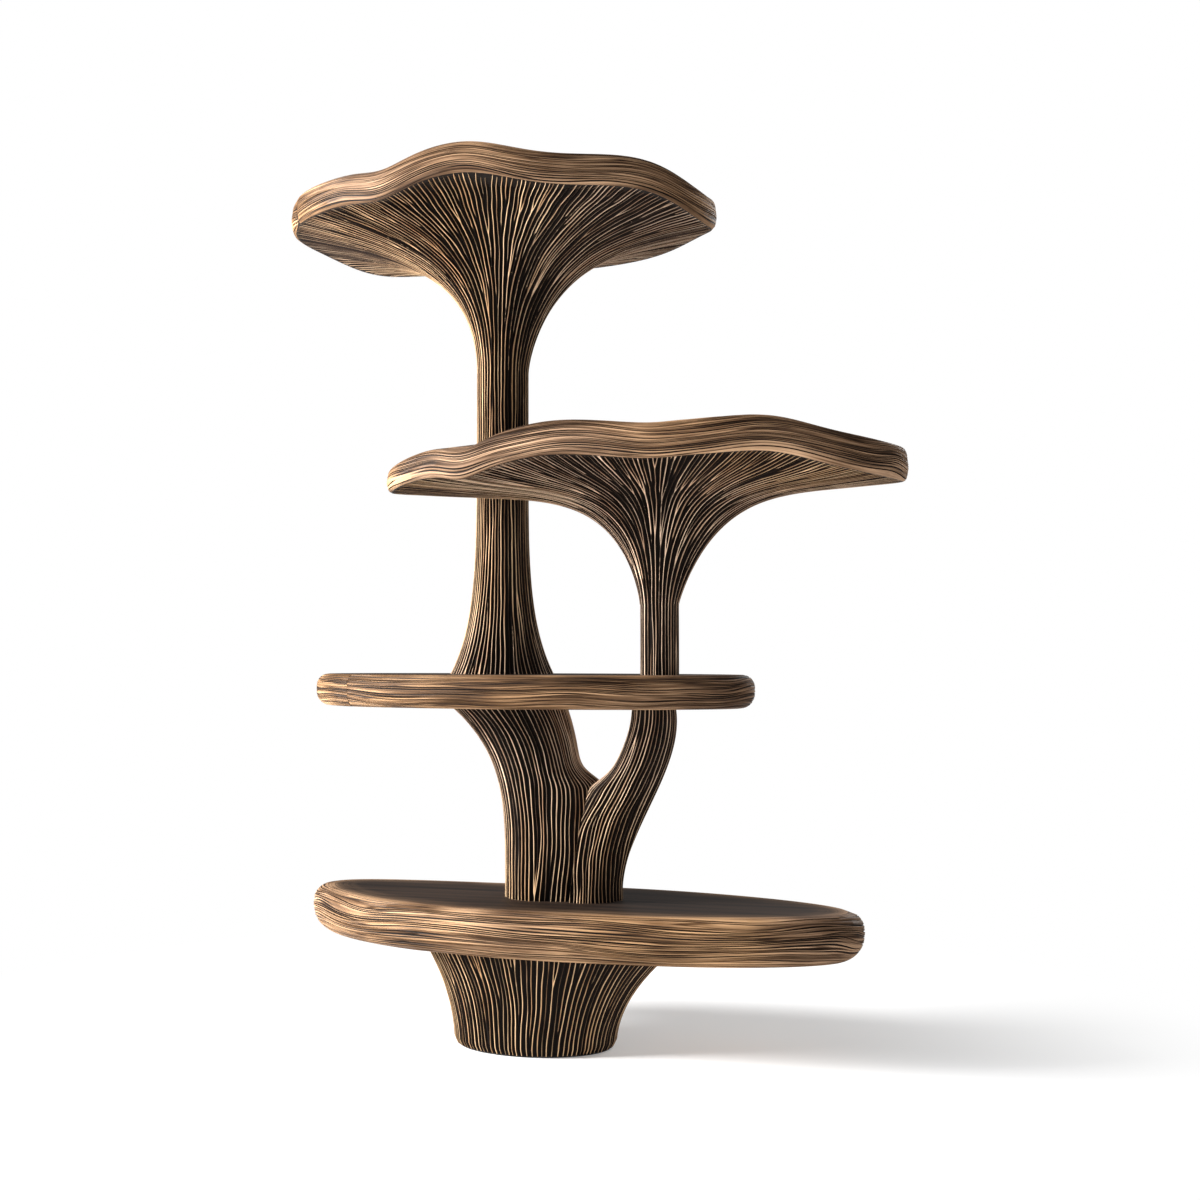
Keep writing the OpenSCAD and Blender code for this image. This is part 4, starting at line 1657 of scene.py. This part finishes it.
    def build(self, shop: Workshop) -> None:
        """Makes the trunk and the branch.

        Args:
            shop: The workshop that dresses them.
        """
        lying = [JOINERY.lying_hole(float(self.seam(u)), self.branch_y, LEVELS.trunk + u * self.height)
                 for u in JOINERY.fork_dowels]
        rows = even_rows(self.trunk, RIB_ROWS)
        carving = self.trunk_ribs.carve(self.trunk, rows).ends(LEVELS.trunk, LEVELS.shelf)
        carving.points[..., 0] = np.minimum(carving.points[..., 0], self.seam(rows)[:, None])
        piece = carving.lay("carved_trunk")
        Bench.bore(piece, JOINERY.rod_holes(JOINERY.trunk_rod, LEVELS.trunk, LEVELS.shelf) + lying)
        shop.dress(piece, Slot.RIBBED, "trunk")
        rows = even_rows(self.branch, RIB_ROWS)[::-1]
        carving = self.branch_ribs.carve(self.branch, rows).ends(LEVELS.shelf, LEVELS.trunk)
        carving.points[..., 0] = np.maximum(carving.points[..., 0], self.seam(rows)[:, None])
        piece = carving.lay("carved_branch")
        Bench.bore(piece, lying + JOINERY.dowel_holes(JOINERY.root_dowel, LEVELS.trunk)
                   + JOINERY.dowel_holes(JOINERY.branch_dowels, LEVELS.shelf))
        shop.dress(piece, Slot.RIBBED, "branch")


@dataclass(frozen=True)
class CapShape:
    """Sizes of a mushroom cap on its stem, as its solids have them.

    Attributes:
        name: Which mushroom it is.
        x: Middle of the stem.
        y: Middle of the stem.
        z: Joint between stem and cap.
        stem: Radius of the stem.
        stem_foot: Its radius at the foot.
        stem_low: Height of its foot.
        reach: Reach of the cap to the right, left, back and front.
        bowl: Height of the gills.
        lip: Rise of the rim on the right, left, back and front.
        band: Thickness of the rim in front, and what it is at the back and on the left.
        seat: Height of the joint face between gills and crown over the bowl.
        flat: Height of the flat top over the bowl.
        swing: How far the left end swings to the front.
        spread: How late the gills spread on the right, the left and in depth.
        rise: How early they rise there.
        waves: Angle, width and height of each wave of the rim.
        ripple: Height of the waves in its outline, as a share.
        overhang: How far the crown stands out over the gills.
        seat_share: Share of the reach that the joint face has.
        flat_share: Share of the reach that the flat top has.
        stem_flare: How late the stem flares.
    """

    name: str
    x: float
    y: float
    z: float
    stem: float
    stem_foot: float
    stem_low: float
    reach: tuple[float, float, float, float]
    bowl: float
    lip: tuple[float, float, float, float]
    band: tuple[float, float, float]
    seat: float
    flat: float
    swing: float
    spread: tuple[float, float, float]
    rise: tuple[float, float, float]
    waves: tuple
    ripple: float = 0.01
    overhang: float = 0.010
    seat_share: float = 0.6
    flat_share: float = 0.62
    stem_flare: float = 5.8

    @staticmethod
    def around(values: tuple, t: Array) -> Array:
        """Value at angle t from one for the right, the left and the depth."""
        side = np.where(np.cos(t) >= 0, values[0], values[1])
        return side * np.cos(t) ** 2 + values[2] * np.sin(t) ** 2

    def point(self, t: Array, out: Array, s: Array, inset: float, z: Array) -> Array:
        """Point of the cap.

        Args:
            t: Angle.
            out: Share of the reach.
            s: Share of the way out along the bowl.
            inset: How far it is drawn in.
            z: Height over the cap's foot.

        Returns:
            The point.
        """
        c, w = np.cos(t), np.sin(t)
        edge = 1 + self.ripple * (np.sin(3 * t + math.radians(30)) + 0.6 * np.sin(7 * t)) * s ** 3
        reach_x = np.where(c >= 0, self.reach[0], self.reach[1]) * edge
        reach_y = np.where(w >= 0, self.reach[2], self.reach[3]) * edge
        rx = self.stem + (reach_x - self.overhang - self.stem) * out - inset
        ry = self.stem + (reach_y - self.overhang - self.stem) * out - inset
        y = self.y + ry * w + self.swing * np.minimum(0, c) * out ** 2
        return np.stack(np.broadcast_arrays(self.x + rx * c, y, self.z + z), axis=-1)

    def rim(self, t: Array) -> Array:
        """Rise of the rim over the bowl.

        Args:
            t: Angle.

        Returns:
            The height.
        """
        c, w = np.cos(t), np.sin(t)
        rise = (np.where(c >= 0, self.lip[0], self.lip[1]) * c ** 2
                + np.where(w >= 0, self.lip[2], self.lip[3]) * w ** 2)
        angle = np.degrees(t) % 360
        for place, width, height in self.waves:
            rise = rise + height * np.exp(-((angle - place) / width) ** 2)
        return rise

    def thick(self, t: Array) -> Array:
        """Thickness of the rim.

        Args:
            t: Angle.

        Returns:
            The thickness.
        """
        front, back, left = self.band
        behind, beside = np.maximum(0, np.sin(t)) ** 2, np.minimum(0, np.cos(t)) ** 2
        return front + (back - front) * behind + (left - front) * beside

    def gill(self, t: Array, s: Array) -> Array:
        """Skin of the gills.

        Args:
            t: Angle.
            s: Share of the way out.

        Returns:
            The point.
        """
        left = np.maximum(1 - s, 0.0) ** self.around(self.rise, t)
        height = self.bowl * (1 - left) + self.rim(t) * s ** 3
        return self.point(t, s ** self.around(self.spread, t), s, 0.0, height)

    def seat_ring(self, t: Array) -> Array:
        """Flat part of the joint face between gills and crown."""
        s = self.seat_share ** (1 / self.around(self.spread, t))
        return self.point(t, self.seat_share, s, 0.0, self.bowl + self.seat)

    def crown_ring(self, t: Array, inset: float, share: float) -> Array:
        """Ring of the rim, drawn in by inset, at a share of its height."""
        height = self.bowl + self.rim(t) + share * self.thick(t)
        return self.point(t, 1.0, 1.0, inset - self.overhang, height)

    def crown_flat(self, t: Array, share: float) -> Array:
        """Ring of the flat top."""
        s = self.flat_share ** (1 / self.around(self.spread, t))
        return self.point(t, share, s, 0.0, self.bowl + self.flat)

    def stem_surface(self, t: Array, u: Array) -> Array:
        """Skin of the stem.

        Args:
            t: Angle.
            u: Share of the height.

        Returns:
            The point.
        """
        half = mix(self.stem, self.stem_foot, (1 - u) ** self.stem_flare)
        return np.stack([self.x + half * np.cos(t), self.y + half * np.sin(t),
                         mix(self.stem_low, self.z, u)], axis=-1)


@dataclass
class Mushroom:
    """One stem with its gilled cap.

    Attributes:
        shape: Its sizes.
        nodes: The solids of stem, gills and crown.
        ribs: Ribs on the stem's narrowest row.
        seed: Seed of all draws.
        lines: Strips of grain on the rim.
        folds: Angle, width and depth of each fold in the rim.
        calm: How much the gills wander beside the stem.
        unrest: How much more they wander at the rim.
        limit: Distance at which a new gill starts, at the stem and at the rim.
        spacing: Distance between two rows.
        stem_limit: Distance at which a new rib starts, at the stem's top and at its foot.
        stem_depth: Depth of the stem's valleys.
        gill_depth: Depth of the gills.
        shallow: Share of it that they have beside the stem.
        deep_from: Share of the way from which they are fully deep.
        flatter: How broad and flat they are at the far left and at the far right.
        flat_from: Share of the way from which they get so.
        flat_over: Share of the way over which they do.
        fold_end: Share of the rim's profile at which the folds end.
        fold_fade: Share of it over which they get their full depth.
        fold_painted_shade: How much of the crest mark goes in a fold, which paints shade into its
            crease.
        columns: Points round the rim.
        profile: How far in and at which share of the rim's height its rings lie.
        inside: Shares of the way from the rim's last ring to the flat top, carved and plain ones.
        top_marks: How much of the flat top's finish the last three rings have.
    """

    shape: CapShape
    nodes: tuple[str, str, str]
    ribs: int
    seed: int
    lines: int
    folds: tuple = ()
    calm: float = 0.5
    unrest: float = 0.9
    limit: tuple[float, float] = (0.0100, 0.0122)
    spacing: float = 0.0050
    stem_limit: tuple[float, float] = (0.0100, 0.0108)
    stem_depth: float = 0.0042
    gill_depth: float = 0.0058
    shallow: float = 0.724
    deep_from: float = 0.4
    flatter: tuple[float, float] = (0.7, 0.35)
    flat_from: float = 0.42
    flat_over: float = 0.4
    fold_end: float = 0.62
    fold_fade: float = 0.45
    # Painted shade in the creases of the folds.
    fold_painted_shade: float = 0.8
    columns: int = 640
    profile: tuple = ((0.006, 0.02), (0.003, 0.1), (0.001, 0.25), (0.0, 0.4), (0.0012, 0.6),
                      (0.003, 0.8), (0.0075, 0.93), (0.015, 1.0))
    inside: tuple = ((0.12, 0.3), (0.4, 1.0))
    top_marks: tuple[float, float, float] = (0.3, 0.85, 1.0)

    def broad(self, t: Array, u: float) -> Array:
        """How broad and flat the gills are: most at the far left and right, near the rim."""
        sides = np.cos(t) ** 8 * np.where(np.cos(t) < 0, *self.flatter)
        return ease((u - self.flat_from) / self.flat_over * np.ones_like(t)) * sides

    def build(self, shop: Workshop) -> None:
        """Makes the stem, the gills and the crown.

        Args:
            shop: The workshop that dresses them.
        """
        self.stem(shop)
        self.gills(shop)
        self.crown(shop)

    def dowels(self) -> tuple:
        """Places of the cap's dowels."""
        return tuple((self.shape.x + side * JOINERY.cap_dowel, self.shape.y) for side in (-1, 1))

    def stem(self, shop: Workshop) -> None:
        """Makes the stem, from the cap down.

        Args:
            shop: The workshop that dresses it.
        """
        shape = self.shape
        rows = even_rows(shape.stem_surface, self.spacing)[::-1]
        ribs = Ribs(count=self.ribs, limit=self.stem_limit, seed=self.seed, depth=self.stem_depth)
        carving = ribs.carve(shape.stem_surface, rows).ends(shape.z, shape.stem_low)
        piece = carving.lay(f"carved_{shape.name}_stem")
        Bench.bore(piece, JOINERY.rod_holes((shape.x, shape.y), shape.stem_low, shape.z))
        shop.dress(piece, Slot.RIBBED, self.nodes[0])

    def gills(self, shop: Workshop) -> None:
        """Makes the gilled bowl, from the stem out.

        Args:
            shop: The workshop that dresses it.
        """
        shape = self.shape
        rows = even_rows(shape.gill, self.spacing)
        ribs = Ribs(count=self.ribs, limit=self.limit, seed=self.seed, depth=self.gill_depth)
        carving = ribs.carve(shape.gill, rows, lambda u: self.calm + self.unrest * u,
                             lambda u: mix(self.shallow, 1.0, min(1.0, u / self.deep_from)), self.broad)
        seat = shape.seat_ring(carving.angles[-1])
        rim = shape.gill(carving.angles[-1], np.ones_like(carving.angles[-1]))
        carving.points[0, :, 2] = shape.z
        carving.points[-1] = rim + unit(seat - rim) * carving.drops[-1][:, None]
        carving.points = np.concatenate([carving.points, seat[None]])
        for mark, values in carving.marks.items():
            carving.marks[mark] = np.concatenate([values, 0 * values[:1]])
        piece = carving.lay(f"carved_{shape.name}_gills")
        top = shape.z + shape.bowl + shape.seat
        Bench.bore(piece, JOINERY.rod_holes((shape.x, shape.y), shape.z, top, sink_high=True)
                   + JOINERY.dowel_holes(self.dowels(), top))
        shop.dress(piece, Slot.RIBBED, self.nodes[1])

    def crown(self, shop: Workshop) -> None:
        """Makes the rim with its flat top.

        Args:
            shop: The workshop that dresses it.
        """
        shape = self.shape
        t = math.pi / 2 + np.linspace(0, TURN, self.columns, endpoint=False)
        rim = shape.gill(t, np.ones_like(t))
        rings = [rim] + [shape.crown_ring(t, inset, share) for inset, share in self.profile]
        flat = shape.crown_flat(t, shape.flat_share)
        rings += [mix(rings[-1], flat, share) for share in self.inside[0]]
        edge = Edge(rings)
        rows, drops, marks, tones = Grain(self.lines, seed=self.seed + 5).cut(edge.along[-1], t)
        low = ease((self.fold_end - rows / rows[-1]) / self.fold_fade)
        # Each fold is cut deeper and darkened with painted shade in its crease.
        for place, width, depth in self.folds:
            crease = np.exp(-((np.degrees(t) % 360 - place) / width) ** 2) * low
            drops = drops + depth * crease
            marks = marks * (1 - self.fold_painted_shade * crease ** 3)
        points, normals = edge.at(rows)
        points = points - normals * drops[..., None]
        points[0] = rim
        marks[0] = 0.0
        inner = [mix(rings[-1], flat, share) for share in self.inside[1]]
        points = np.concatenate([[shape.seat_ring(t)], points, inner])
        share = np.zeros(points.shape[:2])
        share[-3:] = np.array(self.top_marks)[:, None]
        plain = np.ones((1, self.columns))
        found = {Mark.CREST: np.concatenate([0 * plain, marks, plain, plain]),
                 Mark.TONE: np.concatenate([tones[:1], tones, tones[-1:], tones[-1:]]),
                 Mark.TOP: share}
        piece = Bench.lay(f"carved_{shape.name}_crown", points, found, Board.map(points))
        Bench.bore(piece, JOINERY.dowel_holes(self.dowels(), shape.z + shape.bowl + shape.seat))
        shop.dress(piece, Slot.BOARD, self.nodes[2])


TOP_CAP = CapShape(
    name="main", x=JOINERY.main_rod[0], y=JOINERY.main_rod[1], z=LEVELS.top_gills,
    stem=0.0485, stem_foot=0.096, stem_low=LEVELS.stems,
    reach=(0.400, 0.427, 0.235, 0.240), bowl=0.226,
    lip=(0.022, 0.052, 0.015, 0.062), band=(0.056, 0.084, 0.056), seat=0.044, flat=0.102, swing=0.0,
    spread=(1.4, 2.0, 1.7), rise=(2.8, 2.2, 2.5),
    waves=((270, 16, 0.024), (322, 22, 0.020), (248, 8, -0.009), (140, 18, -0.022), (25, 18, 0.012)))

SIDE_CAP = CapShape(
    name="side", x=JOINERY.side_rod[0], y=JOINERY.side_rod[1], z=LEVELS.side_gills,
    stem=0.0345, stem_foot=0.0345, stem_low=LEVELS.stems,
    reach=(0.427, 0.497, 0.098, 0.182), bowl=0.190,
    lip=(0.014, 0.014, 0.008, 0.050), band=(0.060, 0.084, 0.042), seat=0.038, flat=0.096, swing=0.044,
    spread=(1.1, 1.3, 1.5), rise=(4.4, 4.8, 3.6),
    waves=((302, 14, 0.014), (252, 11, 0.009), (231, 7, -0.014), (273, 8, -0.005), (110, 20, 0.005)))


@dataclass(frozen=True)
class Lamp:
    """A soft area lamp.

    Attributes:
        name: Its name.
        place: Where it hangs.
        aim: Where it points.
        width: Its width.
        power: Its power in watts.
    """

    name: str
    place: tuple
    aim: tuple
    width: float
    power: float

    def hang(self) -> None:
        """Adds the lamp."""
        bpy.ops.object.light_add(type="AREA", location=self.place)
        lamp = bpy.context.object
        lamp.name = self.name
        lamp.data.size = self.width
        lamp.data.energy = self.power
        lamp.rotation_euler = Studio.towards(self.place, self.aim)


@dataclass
class Studio:
    """Camera, floor, backdrop and lamps.

    Attributes:
        place: Where the photographer stood.
        aim: What the camera looks at.
        lens: Focal length in millimetres on a frame 36 mm wide.
        lamps: The lamps.
        floor_size: Width of the floor.
        floor_tone: Its lightness.
        floor_glow: What it adds to that in the picture.
        fade: Distances from the middle between which the floor turns white.
        room: Strength of the even light.
    """

    place: tuple = (0.902, -2.774, 0.700)
    aim: tuple = (0.1214, 0.0005, 0.800)
    lens: float = 48.0
    lamps: tuple[Lamp, ...] = (Lamp("key_lamp", (-4.0, -1.7, 2.0), (0.05, 0.0, 0.8), 1.4, 640.0),
                               Lamp("fill_lamp", (2.2, -3.2, 1.2), (0.05, 0.0, 0.8), 2.4, 18.0),
                               Lamp("rim_lamp", (1.6, 3.0, 2.2), (0.05, 0.0, 0.9), 1.6, 50.0))
    floor_size: float = 60.0
    floor_tone: float = 0.86
    floor_glow: float = 0.2
    fade: tuple[float, float] = (0.5, 1.35)
    room: float = 0.30

    @staticmethod
    def towards(place: tuple, aim: tuple) -> Euler:
        """Turn of a lamp or camera that points from one place to another."""
        return (Vector(aim) - Vector(place)).to_track_quat("-Z", "Y").to_euler()

    def camera(self) -> None:
        """Sets the camera where the photographer stood."""
        bpy.ops.object.camera_add(location=self.place)
        camera = bpy.context.object
        camera.data.lens = self.lens
        camera.data.sensor_width = 36.0
        camera.rotation_euler = self.towards(self.place, self.aim)
        bpy.context.scene.camera = camera

    def floor(self) -> None:
        """Lays a pale floor that keeps the object's shadow and ends in white."""
        Bench.clear()
        bpy.ops.mesh.primitive_plane_add(size=self.floor_size)
        floor = bpy.context.object
        floor.name = "studio_floor"
        r = Recipe("studio_floor")
        white = (1.0, 1.0, 1.0, 1.0)
        path = r.add("ShaderNodeLightPath", {}, {}, out="Is Camera Ray")
        place = r.add("ShaderNodeTexCoord", {}, {}, out="Object")
        reach = r.add("ShaderNodeVectorMath", {"operation": "LENGTH"}, {0: place}, out="Value")
        far = r.add("ShaderNodeMapRange", {"interpolation_type": "SMOOTHSTEP"},
                    {"Value": reach, "From Min": self.fade[0], "From Max": self.fade[1]}) * path
        plain = r.add("ShaderNodeBsdfDiffuse", {}, {"Color": (*[self.floor_tone] * 3, 1.0)})
        glow = r.add("ShaderNodeEmission", {}, {"Color": white, "Strength": path * self.floor_glow})
        near = r.add("ShaderNodeAddShader", {}, {0: plain, 1: glow})
        plain_white = r.add("ShaderNodeEmission", {}, {"Color": white, "Strength": 1.0})
        both = r.add("ShaderNodeMixShader", {}, {0: far, 1: near, 2: plain_white})
        r.add("ShaderNodeOutputMaterial", {}, {"Surface": both})
        floor.data.materials.append(r.material)

    def world(self) -> None:
        """Lights the room evenly and shows it white."""
        world = bpy.data.worlds.new("studio_room")
        bpy.context.scene.world = world
        world.use_nodes = True
        tree = world.node_tree
        tree.nodes.clear()
        path = tree.nodes.new("ShaderNodeLightPath")
        room = tree.nodes.new("ShaderNodeBackground")
        room.inputs["Strength"].default_value = self.room
        white = tree.nodes.new("ShaderNodeBackground")
        white.inputs["Color"].default_value = (1.0, 1.0, 1.0, 1.0)
        pick = tree.nodes.new("ShaderNodeMixShader")
        out = tree.nodes.new("ShaderNodeOutputWorld")
        tree.links.new(path.outputs["Is Camera Ray"], pick.inputs[0])
        tree.links.new(room.outputs[0], pick.inputs[1])
        tree.links.new(white.outputs[0], pick.inputs[2])
        tree.links.new(pick.outputs[0], out.inputs["Surface"])

    def build(self) -> None:
        """Sets up the studio."""
        self.camera()
        self.floor()
        self.world()
        for lamp in self.lamps:
            lamp.hang()
        bpy.context.scene.view_settings.view_transform = "Standard"


def main() -> None:
    """Builds the studio and the bookshelf."""
    logging.basicConfig(level=logging.INFO, format="%(message)s")
    Studio().build()
    shop = Workshop()
    shop.dress_solids()
    Foot().build(shop)
    Boards().build(shop)
    Fork().build(shop)
    Mushroom(TOP_CAP, ("main_stem", "top_cap_gills", "top_cap_crown"), ribs=44, seed=41, lines=28,
             folds=((205, 4.0, 0.012),)).build(shop)
    Mushroom(SIDE_CAP, ("side_stem", "side_cap_gills", "side_cap_crown"), ribs=30, seed=51, lines=26,
             unrest=0.2, limit=(0.0102, 0.0108), spacing=0.0062).build(shop)


if __name__ == "__main__":
    main()
